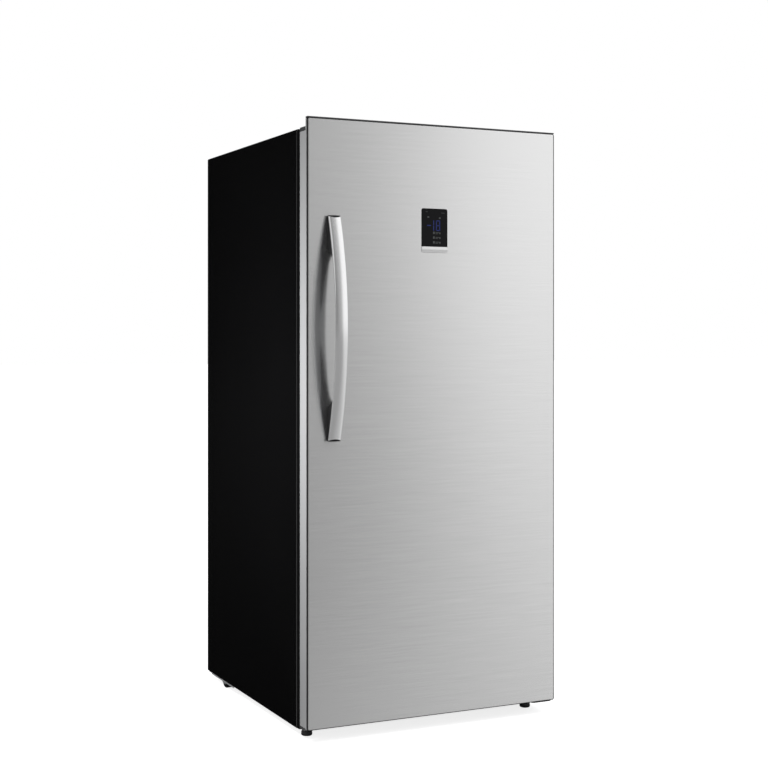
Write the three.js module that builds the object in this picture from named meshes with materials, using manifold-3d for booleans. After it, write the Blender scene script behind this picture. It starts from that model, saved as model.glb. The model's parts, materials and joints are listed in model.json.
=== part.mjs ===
// Upright freezer with a stainless door, in millimetres, +Z up.
// The origin is the point on the floor under the middle of the whole object, and the door faces -Y.
// Cabinet pieces are drawn from the middle of the cabinet's front face, and door pieces from the
// middle of the door's face, so y = 0 is the face of the group that a piece belongs to.

import * as THREE from 'three';
import { mergeVertices } from 'three/addons/utils/BufferGeometryUtils.js';
import Module from 'manifold-3d';

const wasm = await Module();
wasm.setup();

// ---------------------------------------------------------------- driving dimensions

const width = 711;              // cabinet and door, across
const bodyDepth = 735;          // door face to rear edge of the wrap
const doorDepth = 55;           // door face to cabinet face, with the gasket
const handleReach = 73.5;       // door face to the front of the handle
const cabinetTop = 1515;
const cabinetBottom = 26;
const doorTop = 1538;           // top of the lip that stands up behind the door's skin
const clearance = 0.3;          // between pieces that touch
const sheet = 1;                // painted and galvanised sheet steel

const cavity = { halfWidth: 290, bottom: 86, top: 1445, depth: 615 };
const hump = { front: 405, top: 322 };          // step in the liner over the machine compartment
const machine = { front: 465, top: 262 };       // compartment at the bottom of the back
const linerWall = 2;
const frontFlange = 33.5;                       // painted flange round the cabinet's mouth
const shoulder = { inset: 1.5, at: 13 };        // rolled step behind the wrap's front edge

const skinBottom = 36;                          // stainless skin of the door
const skinTop = 1534.5;
const skinDepth = 1.8;                          // with its hem
const sideStrip = { bottom: 38, top: 1504.7 };  // light side trim, between the two caps
const doorBodyBack = 50.6;                      // rear of the door without its gasket
const dyke = { halfWidth: 274, bottom: 100, top: 1431, thick: 22, reach: 140 };

const hinge = { x: 338, y: 23 };                // pin axis, from the door's middle and its face

const shelfLevels = [350, 705, 1060];
const shelfFront = 142;
const coverFace = 566;                          // evaporator cover
const ledgeInner = 276;                         // moulded ledges reach in to here
const basketTop = 246;
const basketBottom = 104;
const basketFront = 145;
const basketBack = 396;

const binLevels = [330, 610, 890, 1170];
const binHalfWidth = 245;

const handle = { x: -288.7, wide: 32, bottom: 742, top: 1296, thick: 12, bow: 61.5, foot: 4, lean: 6 };
const panel = { left: -41.5, right: 33.2, bottom: 1212.3, split: 1227.8, top: 1323.8 };

const leg = { x: 320, y: 33, pad: 14 };
const roller = { x: 335, y: 562, radius: 22, thick: 19 };
const compressorAt = { x: -120, y: 568 };
const fanAt = { x: 0, z: 1140 };

const half = width / 2;
const cabinetDepth = bodyDepth - doorDepth;
const doorFace = -(bodyDepth - handleReach) / 2;   // puts the middle of the whole depth at y = 0
const cabinetFace = doorFace + doorDepth;

// ---------------------------------------------------------------- finishes

const finishes = {
  blackPaint: { color: 0x141415, roughness: 0.35, metalness: 0.1 },
  stainless: { color: 0xc9c9c9, roughness: 0.34, metalness: 1 },
  satinSilver: { color: 0xc4c4c4, roughness: 0.3, metalness: 0.9 },
  silverTrim: { color: 0xb4b5b6, roughness: 0.45, metalness: 0.2 },
  darkPlastic: { color: 0x3b3c3e, roughness: 0.55, metalness: 0 },
  blackPlastic: { color: 0x17171a, roughness: 0.5, metalness: 0 },
  whitePlastic: { color: 0xe9ebec, roughness: 0.4, metalness: 0 },
  clearPlastic: { color: 0xdfe6ea, roughness: 0.15, metalness: 0 },
  glass: { color: 0xcfdcd8, roughness: 0.05, metalness: 0 },
  blackGlass: { color: 0x08080a, roughness: 0.08, metalness: 0 },
  galvanised: { color: 0xa6a8aa, roughness: 0.45, metalness: 0.9 },
  steel: { color: 0x8e9093, roughness: 0.4, metalness: 1 },
  whiteWire: { color: 0xf0f1f2, roughness: 0.35, metalness: 0 },
  rubber: { color: 0x2b2b2d, roughness: 0.85, metalness: 0 },
  foam: { color: 0xe6d9a8, roughness: 0.95, metalness: 0 },
  aluminium: { color: 0xb9bcc0, roughness: 0.4, metalness: 1 },
  copper: { color: 0xb87350, roughness: 0.35, metalness: 1 },
};

// ---------------------------------------------------------------- shapes

// A rectangle with all four corners rounded.
function roundedRect(x0, x1, y0, y1, radius) {
  const shape = new THREE.Shape();
  shape.absarc(x1 - radius, y0 + radius, radius, -Math.PI / 2, 0);
  shape.absarc(x1 - radius, y1 - radius, radius, 0, Math.PI / 2);
  shape.absarc(x0 + radius, y1 - radius, radius, Math.PI / 2, Math.PI);
  shape.absarc(x0 + radius, y0 + radius, radius, Math.PI, 1.5 * Math.PI);
  return shape;
}

// A closed outline through corner points, each corner rounded by its own radius [x, y, radius].
function roundedOutline(corners) {
  const shape = new THREE.Shape();
  corners.forEach(([x, y, radius = 0], index) => {
    if (radius === 0) {
      if (index === 0) shape.moveTo(x, y);
      else shape.lineTo(x, y);
      return;
    }
    const corner = new THREE.Vector2(x, y);
    const before = corners[(index + corners.length - 1) % corners.length];
    const after = corners[(index + 1) % corners.length];
    const inward = new THREE.Vector2(before[0] - x, before[1] - y).normalize();
    const onward = new THREE.Vector2(after[0] - x, after[1] - y).normalize();
    const halfAngle = Math.acos(inward.dot(onward)) / 2;
    const bisector = inward.clone().add(onward).normalize();
    const centre = corner.clone().addScaledVector(bisector, radius / Math.sin(halfAngle));
    const start = corner.clone().addScaledVector(inward, radius / Math.tan(halfAngle)).sub(centre);
    const end = corner.clone().addScaledVector(onward, radius / Math.tan(halfAngle)).sub(centre);
    const clockwise = inward.cross(onward) > 0;
    if (index > 0) shape.lineTo(centre.x + start.x, centre.y + start.y);
    shape.absarc(centre.x, centre.y, radius, start.angle(), end.angle(), clockwise);
  });
  shape.closePath();
  return shape;
}

// The section of a bent sheet: a line of points given a thickness, half on each side.
function bentSheet(points, thickness) {
  const line = points.map(([x, y]) => new THREE.Vector2(x, y));
  const side = (sign) => line.map((point, index) => {
    const before = line[Math.max(index - 1, 0)];
    const after = line[Math.min(index + 1, line.length - 1)];
    const first = (index === 0 ? after.clone().sub(point) : point.clone().sub(before)).normalize();
    const second = (after === point ? first : after.clone().sub(point).normalize());
    const bisector = first.clone().add(second).normalize();
    const normal = new THREE.Vector2(-bisector.y, bisector.x);
    const cosine = bisector.dot(first);
    return point.clone().addScaledVector(normal, sign * thickness / 2 / cosine);
  });
  return new THREE.Shape([...side(1), ...side(-1).reverse()]);
}

function circle(x, y, radius) {
  return new THREE.Shape().absarc(x, y, radius, 0, 2 * Math.PI);
}

// ---------------------------------------------------------------- solids

function signedVolume(position, index) {
  const [a, b, c] = [new THREE.Vector3(), new THREE.Vector3(), new THREE.Vector3()];
  let total = 0;
  for (let i = 0; i < index.length; i += 3) {
    a.fromBufferAttribute(position, index[i]);
    b.fromBufferAttribute(position, index[i + 1]);
    c.fromBufferAttribute(position, index[i + 2]);
    total += a.dot(b.cross(c));
  }
  return total;
}

// A closed geometry as a solid. Triangles that shrink to a line on a lathe's axis are dropped,
// and a profile drawn the other way round is turned so that its faces point out.
function solid(geometry) {
  const bare = geometry.clone();
  bare.deleteAttribute('normal');
  bare.deleteAttribute('uv');
  const merged = mergeVertices(bare, 1e-4);
  const position = merged.getAttribute('position');
  const source = merged.index.array;
  const turned = signedVolume(position, source) < 0;
  const triVerts = [];
  for (let i = 0; i < source.length; i += 3) {
    const [a, b, c] = [source[i], source[i + 1], source[i + 2]];
    if (a === b || b === c || c === a) continue;
    triVerts.push(a, turned ? c : b, turned ? b : c);
  }
  return new wasm.Manifold(new wasm.Mesh({
    numProp: 3,
    vertProperties: new Float32Array(position.array),
    triVerts: new Uint32Array(triVerts),
  }));
}

const join = (...solids) => solids.reduce((sum, next) => sum.add(next));
const cut = (base, ...tools) => tools.reduce((rest, tool) => rest.subtract(tool), base);
const common = (...solids) => solids.reduce((kept, next) => kept.intersect(next));

const span = (a, b) => [Math.min(a, b), Math.max(a, b)];

function block([x0, x1], [y0, y1], [z0, z1]) {
  const box = new THREE.BoxGeometry(x1 - x0, y1 - y0, z1 - z0);
  return solid(box.translate((x0 + x1) / 2, (y0 + y1) / 2, (z0 + z1) / 2));
}

// Axes that a drawn shape (its x, its y, and the way it is pushed) is laid along.
const axes = {
  X: [new THREE.Vector3(0, 1, 0), new THREE.Vector3(0, 0, 1), new THREE.Vector3(1, 0, 0)],
  Y: [new THREE.Vector3(1, 0, 0), new THREE.Vector3(0, 0, 1), new THREE.Vector3(0, -1, 0)],
  Z: [new THREE.Vector3(1, 0, 0), new THREE.Vector3(0, 1, 0), new THREE.Vector3(0, 0, 1)],
};

// A shape pushed along an axis from one place to another. A bevel { out, along, rows } rounds
// both ends inside the drawn outline. A quarter round gets twice curveSegments facets.
function push(axis, shape, from, to, { bevel = null, curveSegments = 1 } = {}) {
  const length = to - from;
  const along = bevel ? bevel.along : 0;
  const geometry = new THREE.ExtrudeGeometry(shape, {
    depth: length - 2 * along,
    curveSegments,
    bevelEnabled: Boolean(bevel),
    bevelSize: bevel ? bevel.out : 0,
    bevelOffset: bevel ? -bevel.out : 0,
    bevelThickness: along,
    bevelSegments: bevel ? bevel.rows : 0,
  });
  geometry.translate(0, 0, along);
  if (axis === 'Y') geometry.translate(0, 0, -to);
  else geometry.translate(0, 0, from);
  geometry.applyMatrix4(new THREE.Matrix4().makeBasis(...axes[axis]));
  return solid(geometry);
}

// A profile of [radius, height] points turned about an axis through the origin.
function turn(axis, profile, segments = 24) {
  const points = profile.map(([radius, height]) => new THREE.Vector2(radius, height));
  points.push(points[0].clone());
  const geometry = new THREE.LatheGeometry(points, segments);
  if (axis === 'Z') geometry.rotateX(Math.PI / 2);
  if (axis === 'X') geometry.rotateZ(-Math.PI / 2);
  return solid(geometry);
}

// A round bar along an axis, at a place across that axis.
function rod(axis, [a, b], radius, from, to, segments = 16) {
  return push(axis, circle(a, b, radius), from, to, { curveSegments: segments / 2 });
}

// A round tube or wire along a curve.
function tube(curve, radius, steps, sides = 8) {
  const section = circle(0, 0, radius);
  return solid(new THREE.ExtrudeGeometry(section, { extrudePath: curve, steps, curveSegments: sides / 2 }));
}

// ---------------------------------------------------------------- scene graph

function piece(name, shape, finish, position = [0, 0, 0]) {
  const mesh = shape.getMesh();
  const geometry = new THREE.BufferGeometry();
  geometry.setAttribute('position', new THREE.BufferAttribute(new Float32Array(mesh.vertProperties), 3));
  geometry.setIndex(new THREE.BufferAttribute(new Uint32Array(mesh.triVerts), 1));
  geometry.computeVertexNormals();
  const part = new THREE.Mesh(geometry, new THREE.MeshStandardMaterial(finishes[finish]));
  part.name = name;
  part.position.set(...position);
  return part;
}

function group(position, ...children) {
  const made = new THREE.Group();
  made.position.set(...position);
  for (const child of children) made.add(child);
  return made;
}

// ---------------------------------------------------------------- cabinet casing

// The U-shaped outline of the wrap, open at the bottom, drawn smaller by an inset.
function wrapOutline(inset, bottom = cabinetBottom) {
  const side = half - inset;
  const top = cabinetTop - inset;
  const radius = Math.max(4 - inset, 0.5);
  return roundedOutline([
    [-side, bottom], [side, bottom], [side, top, radius], [-side, top, radius],
  ]);
}

// One sheet bent over both sides and the top, with a shallow rolled shoulder behind its front
// edge, a flange round the mouth and a narrow return at the back.
function outerShell() {
  const edge = { out: 1.4, along: 2, rows: 2 };
  const long = 40;
  const below = cabinetBottom - long;
  const front = push('Y', wrapOutline(shoulder.inset, below), 0, 60, { bevel: edge });
  const body = push('Y', wrapOutline(0, below), shoulder.at, cabinetDepth + long, { bevel: edge });
  const outside = common(
    join(front, body),
    block([-half, half], [0, cabinetDepth], [cabinetBottom, cabinetTop]),
  );
  const inside = join(
    push('Y', wrapOutline(shoulder.inset + sheet, below), sheet, 60),
    push('Y', wrapOutline(sheet, below), shoulder.at + 2, cabinetDepth - sheet),
  );
  const mouth = half - frontFlange;
  const returned = half - 13;
  return cut(
    outside,
    inside,
    block([-mouth, mouth], [-1, 5], [0, cabinetTop - frontFlange]),
    block([-returned, returned], [cabinetDepth - 5, cabinetDepth + 1], [0, cabinetTop - 13]),
  );
}

// The rear sheet, with pressed beads that stiffen it.
function rearPanel() {
  const y = 676;
  const beads = [-260, -130, 0, 130, 260];
  const line = [[-half + 1.6, y]];
  for (const at of beads) {
    line.push([at - 16, y], [at - 10, y + 2.4], [at + 10, y + 2.4], [at + 16, y]);
  }
  line.push([half - 1.6, y]);
  return push('Z', bentSheet(line, 0.9), 300, cabinetTop - 5);
}

// The hollow of the freezer, grown on all sides: the liner's two faces and the foam's hole.
function hollow(grow, front) {
  const side = cavity.halfWidth + grow;
  const bottom = cavity.bottom - grow;
  const top = cavity.top + grow;
  const back = cavity.depth + grow;
  const stepFront = hump.front + grow;
  const stepTop = hump.top - grow;
  const radius = 18 + grow;
  const small = 12;
  const profile = roundedOutline([
    [front, bottom], [stepFront, bottom, small + grow], [stepFront, stepTop, small - grow],
    [back, stepTop, small + grow], [back, top, radius], [front, top],
  ]);
  const plan = roundedOutline([
    [-side, front], [side, front], [side, back, radius], [-side, back, radius],
  ]);
  return common(
    push('X', profile, -side, side, { curveSegments: 2 }),
    push('Z', plan, bottom - 1, top + 1, { curveSegments: 2 }),
  );
}

// Vacuum-formed liner: the walls, the flange round the mouth, and the ledges on both sides.
function innerLiner() {
  const flange = half - frontFlange - clearance;
  const walls = join(
    hollow(linerWall, 0),
    push('Y', roundedRect(-flange, flange, 60, cabinetTop - frontFlange - clearance, 3), 0, linerWall),
  );
  const ledges = [];
  const ledge = (level, from, to) => {
    for (const side of [-1, 1]) {
      const section = roundedOutline([
        [side * (cavity.halfWidth + 1), level - 16], [side * ledgeInner, level - 5, 1.5],
        [side * ledgeInner, level, 1], [side * (cavity.halfWidth + 1), level],
      ]);
      ledges.push(push('Y', section, from, to));
    }
  };
  for (const level of shelfLevels) ledge(level, 130, 556);
  ledge(basketTop - 6, 92, 402);
  const open = cut(walls, hollow(0, -10));
  return cut(join(open, ...ledges), ...linerHoles(0.6));
}

// What passes down through the liner's step, the foam and the compartment's ceiling.
const drainAt = { x: -120, y: 592, radius: 8 };
const suctionAt = { x: 150, y: 592, radius: 4 };
function linerHoles(room) {
  return [drainAt, suctionAt].map(({ x, y, radius }) => rod('Z', [x, y], radius + room, 240, hump.top + 8));
}

// One bent sheet: the flange under the mouth, the underside, and the machine compartment's
// front wall and ceiling.
function basePan() {
  const line = [
    [0.5, 59.7], [0.5, cabinetBottom + 0.5], [machine.front, cabinetBottom + 0.5],
    [machine.front, machine.top], [675, machine.top],
  ];
  const inside = half - sheet - clearance;
  const mouth = half - frontFlange - clearance;
  const pan = push('X', bentSheet(line, sheet), -inside, inside);
  const corners = [-1, 1].flatMap((side) => [
    block(span(side * mouth, side * (half + 1)), [-1, 2.3], [0, 70]),
    block(span(side * (inside - shoulder.inset), side * (half + 1)), [-1, shoulder.at + 3], [0, 70]),
  ]);
  const studs = [-1, 1].map((side) => rod('Z', [side * leg.x, leg.y], 4.8, 0, 60));
  return cut(pan, ...corners, ...studs, ...linerHoles(1.6));
}

// The foam between the wrap, the liner and the base pan.
function foamInsulation() {
  const inset = sheet + clearance;
  const bottom = cabinetBottom + inset;
  const start = linerWall + clearance;
  const bulk = join(
    push('Y', wrapOutline(inset, bottom), shoulder.at + 3, 675),
    push('Y', wrapOutline(inset + shoulder.inset, bottom), start, shoulder.at + 4),
  );
  const compartment = block(
    [-half, half],
    [machine.front - sheet / 2 - clearance, 700],
    [0, machine.top + sheet / 2 + clearance],
  );
  const studs = [-1, 1].map((side) => rod('Z', [side * leg.x, leg.y], 5, 0, 56, 8));
  return cut(bulk, compartment, hollow(linerWall + clearance, -start), ...studs, ...linerHoles(1));
}

// ---------------------------------------------------------------- door hinges on the cabinet

// Leaf on the cabinet's top with the upper pin, held by two hexagon-headed screws.
// Drawn from the pin's axis, z = 0 at the cabinet's top.
function topHinge() {
  const low = clearance;
  const high = 4.3;
  const toCabinet = doorDepth - hinge.y;
  const arm = roundedOutline([
    [-8, 0, 3], [6.2, -1, 3], [4, 8, 2], [-12, toCabinet + 6, 2], [-34, toCabinet + 6, 2],
  ]);
  const base = roundedRect(-44, 10, toCabinet + 2, toCabinet + 66, 5);
  const heads = [[-30, toCabinet + 16], [-8, toCabinet + 52]].map(([x, y]) => (
    push('Z', circle(x, y, 6), high - 0.1, high + 4, { curveSegments: 3 })
  ));
  return join(
    push('Z', arm, low, high),
    push('Z', base, low, high),
    rod('Z', [0, 0], 7.6, low, high, 20),
    rod('Z', [0, 0], 4, -18, high, 12),
    ...heads,
  );
}

// Plastic cover over the top hinge: a hollow cap, open below, its nose rounded about the pin.
function hingeCover() {
  const toCabinet = doorDepth - hinge.y;
  const outline = (inset) => roundedOutline([
    [-58 + inset, -8 + inset, 4],
    [3 - inset, -8.4 + inset, 4],
    [7.5 - inset, 2 - inset, 3],
    [-4 - inset, 22, 3],
    [4 - inset, toCabinet + 1 + inset, 3],
    [14 - inset, toCabinet + 2 + inset, 3],
    [14 - inset, toCabinet + 78 - inset, 6],
    [-58 + inset, toCabinet + 78 - inset, 6],
  ]);
  const high = 25;
  const wall = 2;
  const bevel = { out: 1.4, along: 1.4, rows: 1 };
  const shell = push('Z', outline(0), clearance - 3, high, { bevel });
  const inside = push('Z', outline(wall), -5, high - wall);
  const overDoor = block([-80, 30], [-20, toCabinet + 0.5], [-10, 1.4]);
  const underside = block([-80, 30], [-20, 200], [-10, clearance]);
  const armGap = block([-44, 10], [-20, toCabinet + 70], [-10, 4.8]);
  return cut(shell, inside, overDoor, underside, common(armGap, push('Z', outline(-3), -10, 4.8)));
}

// Bracket under the front corner: a foot below the cabinet, a riser, and a leaf with the lower pin.
// Drawn from the pin's axis in x and y, z from the floor.
function bottomHinge() {
  const toCabinet = doorDepth - hinge.y;
  const line = [
    [toCabinet + 62, 24.2], [toCabinet - 1.8, 24.2], [toCabinet - 1.8, 33.5], [-20, 33.5],
  ];
  const strip = push('X', bentSheet(line, 3), -48, 15);
  const plan = push('Z', roundedRect(-48, 15, -18, toCabinet + 62, 9), 0, 60);
  const pin = rod('Z', [0, 0], 5, 34, 52, 12);
  const stud = rod('Z', [leg.x - hinge.x, leg.y + toCabinet], 5.5, 0, 60, 8);
  return cut(join(common(strip, plan), pin), stud);
}

// ---------------------------------------------------------------- feet and rollers

// Screw-in foot: a pad with a chamfered rim, a hexagon to turn it by, and the stud.
function levellingLeg() {
  const profile = [[0, 0], [leg.pad - 2, 0], [leg.pad, 2], [leg.pad, 10], [leg.pad - 3, 12.5], [0, 12.5]];
  const pad = turn('Z', profile, 16);
  const hex = push('Z', circle(0, 0, 9), 12, 17, { curveSegments: 3 });
  return join(pad, hex, rod('Z', [0, 0], 4, 16, 52, 8));
}

// Plastic wheel with a crowned tread, a recessed web on both faces and a bored hub.
function rearRoller() {
  const wide = roller.thick / 2;
  const bore = 4.4;
  const profile = [
    [bore, -wide], [8.5, -wide], [8.5, -wide + 3], [16, -wide + 3], [16, -wide], [20.5, -wide],
    [roller.radius, -wide + 2], [roller.radius, wide - 2],
    [20.5, wide], [16, wide], [16, wide - 3], [8.5, wide - 3], [8.5, wide], [bore, wide],
  ];
  return turn('X', profile, 16);
}

// Inverted U of galvanised steel whose two cheeks carry the axle, with a flange on the plate.
function rollerBracket() {
  const cheek = roller.thick / 2 + 1;
  const web = roller.radius + 3;
  const profile = bentSheet([[-cheek - 1, -40], [-cheek - 1, web], [cheek + 1, web], [cheek + 1, -40]], 2);
  const outline = roundedOutline([
    [-30, web + 2], [-30, 4, 3], [-10, -10, 9], [10, -10, 9], [30, 4, 3], [30, web + 2],
  ]);
  const arch = common(push('Y', profile, -30, 30), push('X', outline, -40, 40));
  const flange = block([cheek + 1, cheek + 18], [-30, 30], [4.1, 6.1]);
  return cut(join(arch, flange), rod('X', [0, 0], 4.4, -40, 40, 12));
}

function rollerAxle() {
  const reach = roller.thick / 2 + 3.3;
  return join(
    rod('X', [0, 0], 4, -reach - 1, reach + 0.9, 12),
    rod('X', [0, 0], 6.5, -reach - 2.5, -reach - 0.2, 12),
  );
}

// ---------------------------------------------------------------- machine compartment

const plateTop = 25.7;
const footHeight = plateTop + clearance + 6.1;     // the compressor's feet, in their grommets' waists

// Galvanised plate that closes the compartment below and carries the compressor.
function compressorPlate() {
  const top = plateTop;
  const plate = join(
    block([-half + 0.5, half - 0.5], [machine.front + 1, 668], [top - 2, top]),
    block([-half + 0.5, -half + 2.5], [machine.front + 2, 645], [top - 4.5, top]),
    block([half - 2.5, half - 0.5], [machine.front + 2, 645], [top - 4.5, top]),
    block([-half + 4, half - 4], [machine.front + 1, machine.front + 3], [top - 1, top + 14]),
  );
  const slots = [-1, 1].map((side) => (
    block(span(side * (roller.x - 14.6), side * (roller.x + 17.8)), [roller.y - 31, roller.y + 31], [0, 60])
  ));
  const bolts = grommetPlaces().map(([x, y]) => (
    rod('Z', [x + compressorAt.x, y + compressorAt.y], 3.5, 0, 60, 8)
  ));
  return cut(plate, ...slots, ...bolts);
}

function grommetPlaces() {
  return [[-85, -52], [85, -52], [-85, 52], [85, 52]];
}

// Rubber mount with a waist that the compressor's foot drops into.
function grommet() {
  const profile = [[4.5, 0], [13, 0], [13, 5.7], [8.5, 6], [8.5, 9.4], [11.5, 9.7], [10, 14], [4.5, 14]];
  return turn('Z', profile, 8);
}

// Hermetic compressor: two drawn cups with a welded rim, an oval in plan, on a foot plate.
// Drawn from the middle of its foot plate, z = 0 at the plate's underside.
function compressor() {
  const cups = [
    [0, 3], [46, 3], [64, 12], [72, 62], [76, 64], [76, 70], [72, 72],
    [70, 104], [58, 134], [30, 148], [0, 150],
  ].map(([x, y]) => new THREE.Vector2(x, y));
  const lathe = new THREE.LatheGeometry(cups, 20).rotateX(Math.PI / 2).scale(1.12, 0.92, 1);
  const foot = cut(
    push('Z', roundedRect(-98, 98, -66, 66, 12), 0, 3),
    ...grommetPlaces().map(([x, y]) => rod('Z', [x, y], 9, -5, 8, 10)),
    block([-60, 60], [-80, -48], [-5, 8]),
    block([-60, 60], [48, 80], [-5, 8]),
  );
  const process = new THREE.CatmullRomCurve3([
    new THREE.Vector3(-60, 20, 60), new THREE.Vector3(-84, 24, 62),
    new THREE.Vector3(-94, 27, 74), new THREE.Vector3(-95, 27, 112),
  ]);
  return join(solid(lathe), foot, tube(process, 3.2, 6, 6));
}

function terminalCover() {
  return push('Y', roundedRect(-34, 34, 36, 96, 8), -22, 0, { bevel: { out: 3, along: 3, rows: 1 } });
}

// Tray over the compressor, where its warmth dries the meltwater.
function drainPan() {
  const outline = (inset) => roundedRect(-110 + inset, 110 - inset, -78 + inset, 60 - inset, 14 - inset);
  const rim = push('Z', outline(-4), 27, 29);
  const tray = join(push('Z', outline(0), 0, 29), rim);
  return cut(tray, push('Z', outline(2), 2, 40));
}

function drainTube() {
  const outside = rod('Z', [0, 0], drainAt.radius, 218, hump.top + 1.5, 12);
  return cut(outside, rod('Z', [0, 0], 6, 200, hump.top + 4, 12));
}

// Return pipe from the evaporator: down through the foam, then across to the compressor's side.
function suctionLine() {
  const start = compressorAt.x + 80.3;
  const points = [
    [start, compressorAt.y, 86], [start + 18, compressorAt.y, 86], [start + 50, compressorAt.y + 2, 88],
    [suctionAt.x - 45, suctionAt.y - 10, 118], [suctionAt.x - 8, suctionAt.y - 2, 170],
    [suctionAt.x, suctionAt.y, 225], [suctionAt.x, suctionAt.y, 300], [suctionAt.x, suctionAt.y, 400],
    [suctionAt.x, suctionAt.y, 561.7],
  ].map(([x, y, z]) => new THREE.Vector3(x, y, z));
  return tube(new THREE.CatmullRomCurve3(points), 4, 20, 6);
}

// Pressed cover of the compartment, with two banks of hooded louvres and a hole for the inlet.
function rearCover() {
  const y = cabinetDepth - 4.3;
  const louvre = { wide: 190, rise: 18, rows: 5, first: 134 };
  const skin = push('Y', roundedRect(-half + 4, half - 4, 30, 297, 6), y, y + 1.2);
  const hoods = [];
  const slots = [];
  for (const side of [-1, 1]) {
    const middle = side * 150;
    for (let row = 0; row < louvre.rows; row += 1) {
      const z = louvre.first + row * louvre.rise;
      const hood = roundedOutline([[y + 1, z], [y + 1, z + 9], [y + 4, z + 2.5], [y + 4, z]]);
      const under = roundedOutline([
        [y - 1, z + 0.1], [y - 1, z + 6.5], [y + 1.2, z + 6.5],
        [y + 3, z + 1.5], [y + 3, z - 1], [y - 1, z - 1],
      ]);
      hoods.push(push('X', hood, middle - louvre.wide / 2, middle + louvre.wide / 2));
      slots.push(push('X', under, middle - louvre.wide / 2 + 1, middle + louvre.wide / 2 - 1));
    }
  }
  const inlet = block(
    [inletAt.x - 16.5, inletAt.x + 16.5], [y - 5, y + 10], [inletAt.z - 12.5, inletAt.z + 12.5],
  );
  return cut(join(skin, ...hoods), ...slots, inlet);
}

const inletAt = { x: 250, z: 72 };

// Mains inlet: a flanged housing with a recess that holds three blades.
function powerInlet() {
  const body = join(
    push('Y', roundedRect(-16, 16, -12, 12, 3), -20, 3.2),
    push('Y', roundedRect(-22, 22, -16, 16, 5), 1.6, 3.6),
  );
  const plug = roundedOutline([[-12, -8], [12, -8], [12, 4], [8, 8], [-8, 8], [-12, 4]]);
  const recess = push('Y', plug, -14, 5);
  const blades = [[-7, -1], [0, 3], [7, -1]].map(([x, z]) => (
    block([x - 1, x + 1], [-16, 0], [z - 2.5, z + 2.5])
  ));
  return join(cut(body, recess), ...blades);
}

// ---------------------------------------------------------------- cold side

// Fin pack on a backbone, with the return bends of its pipe at both ends.
// Drawn from the middle of its front, z = 0 at the pack's bottom.
function evaporator() {
  const fins = 14;
  const reach = 205;
  const pitch = 2 * reach / fins;
  const comb = new THREE.Shape();
  comb.moveTo(-reach, 34);
  for (let i = 0; i <= fins; i += 1) {
    const x = -reach + i * pitch;
    comb.lineTo(x - 0.7, 30);
    comb.lineTo(x - 0.7, 0);
    comb.lineTo(x + 0.7, 0);
    comb.lineTo(x + 0.7, 30);
  }
  comb.lineTo(reach, 34);
  comb.closePath();
  const pack = push('Z', comb, 0, 210);
  const bends = [];
  for (const side of [-1, 1]) {
    for (let i = 0; i < 2; i += 1) {
      const low = 34 + i * 78 + (side > 0 ? 0 : 39);
      const bend = new THREE.CatmullRomCurve3([
        [0, 0], [8, 0], [16, 8], [16, 23], [8, 31], [0, 31],
      ].map(([out, up]) => new THREE.Vector3(side * (reach + out), 20, low + up)));
      bends.push(tube(bend, 4, 5, 6));
    }
  }
  return join(pack, ...bends);
}

// White cover in front of the evaporator: intake slots below, outlet slots above, and a round
// grille of rings and spokes in front of the fan.
function evaporatorCover() {
  const thick = 2.5;
  const side = 286;
  const skin = push('Y', roundedRect(-side, side, hump.top + 2.3, cavity.top - 2.3, 14), 0, thick);
  const turned = [-side, side].map((x) => (
    block(span(x, x - Math.sign(x) * thick), [1, 30], [hump.top + 20, cavity.top - 22])
  ));
  const openings = [];
  const slot = { long: 200, high: 8, pitch: 18, rows: 3 };
  for (const first of [366, 1358]) {
    for (let row = 0; row < slot.rows; row += 1) {
      for (const x of [-125, 125]) {
        const z = first + row * slot.pitch;
        openings.push(block([x - slot.long / 2, x + slot.long / 2], [-5, 10], [z, z + slot.high]));
      }
    }
  }
  const rings = [[18, 30], [36, 49]].map(([inner, outer]) => (
    cut(rod('Y', [fanAt.x, fanAt.z], outer, -5, 10), rod('Y', [fanAt.x, fanAt.z], inner, -6, 11))
  ));
  const spoke = block([-56, 56], [-8, 12], [-2, 2]);
  const spokes = [0, 60, 120].map((angle) => spoke.rotate([0, angle, 0]).translate([fanAt.x, 0, fanAt.z]));
  const grille = cut(join(...rings), ...spokes);
  return cut(join(skin, ...turned), ...openings, grille);
}

// Axial fan: five swept and twisted blades on a domed hub, bored for the motor's shaft.
// Drawn about its own axis, along Y.
function evaporatorFan() {
  const blades = 5;
  const hubRadius = 15;
  const tipRadius = 50;
  const stations = 3;
  const hub = turn('Y', [[2.3, 0], [11, 0], [hubRadius, 4], [hubRadius, 15], [2.3, 15]], 15);
  const blade = twistedBlade(hubRadius - 2, tipRadius, stations);
  const all = [];
  for (let i = 0; i < blades; i += 1) all.push(blade.rotate([0, i * 360 / blades, 0]));
  return join(hub, ...all);
}

// A blade lofted through stations along its radius: it widens, sweeps and flattens to its tip.
function twistedBlade(inner, outer, stations) {
  const chordSteps = 3;
  const thick = 0.8;
  const positions = [];
  for (let i = 0; i <= stations; i += 1) {
    const t = i / stations;
    const radius = inner + (outer - inner) * t;
    const chord = 20 + 14 * t;
    const pitch = THREE.MathUtils.degToRad(38 - 16 * t);
    const sweep = THREE.MathUtils.degToRad(22 * t * t);
    for (const face of [1, -1]) {
      for (let j = 0; j <= chordSteps; j += 1) {
        const s = (face === 1 ? j : chordSteps - j) / chordSteps - 0.5;
        const camber = 2.2 * (1 - 4 * s * s);
        const along = s * chord * Math.cos(pitch);
        const rise = s * chord * Math.sin(pitch) + camber + face * thick;
        const angle = sweep + along / radius;
        positions.push(radius * Math.cos(angle), 7.5 + rise * 0.62, radius * Math.sin(angle));
      }
    }
  }
  return solid(loft(positions, 2 * (chordSteps + 1)));
}

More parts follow.
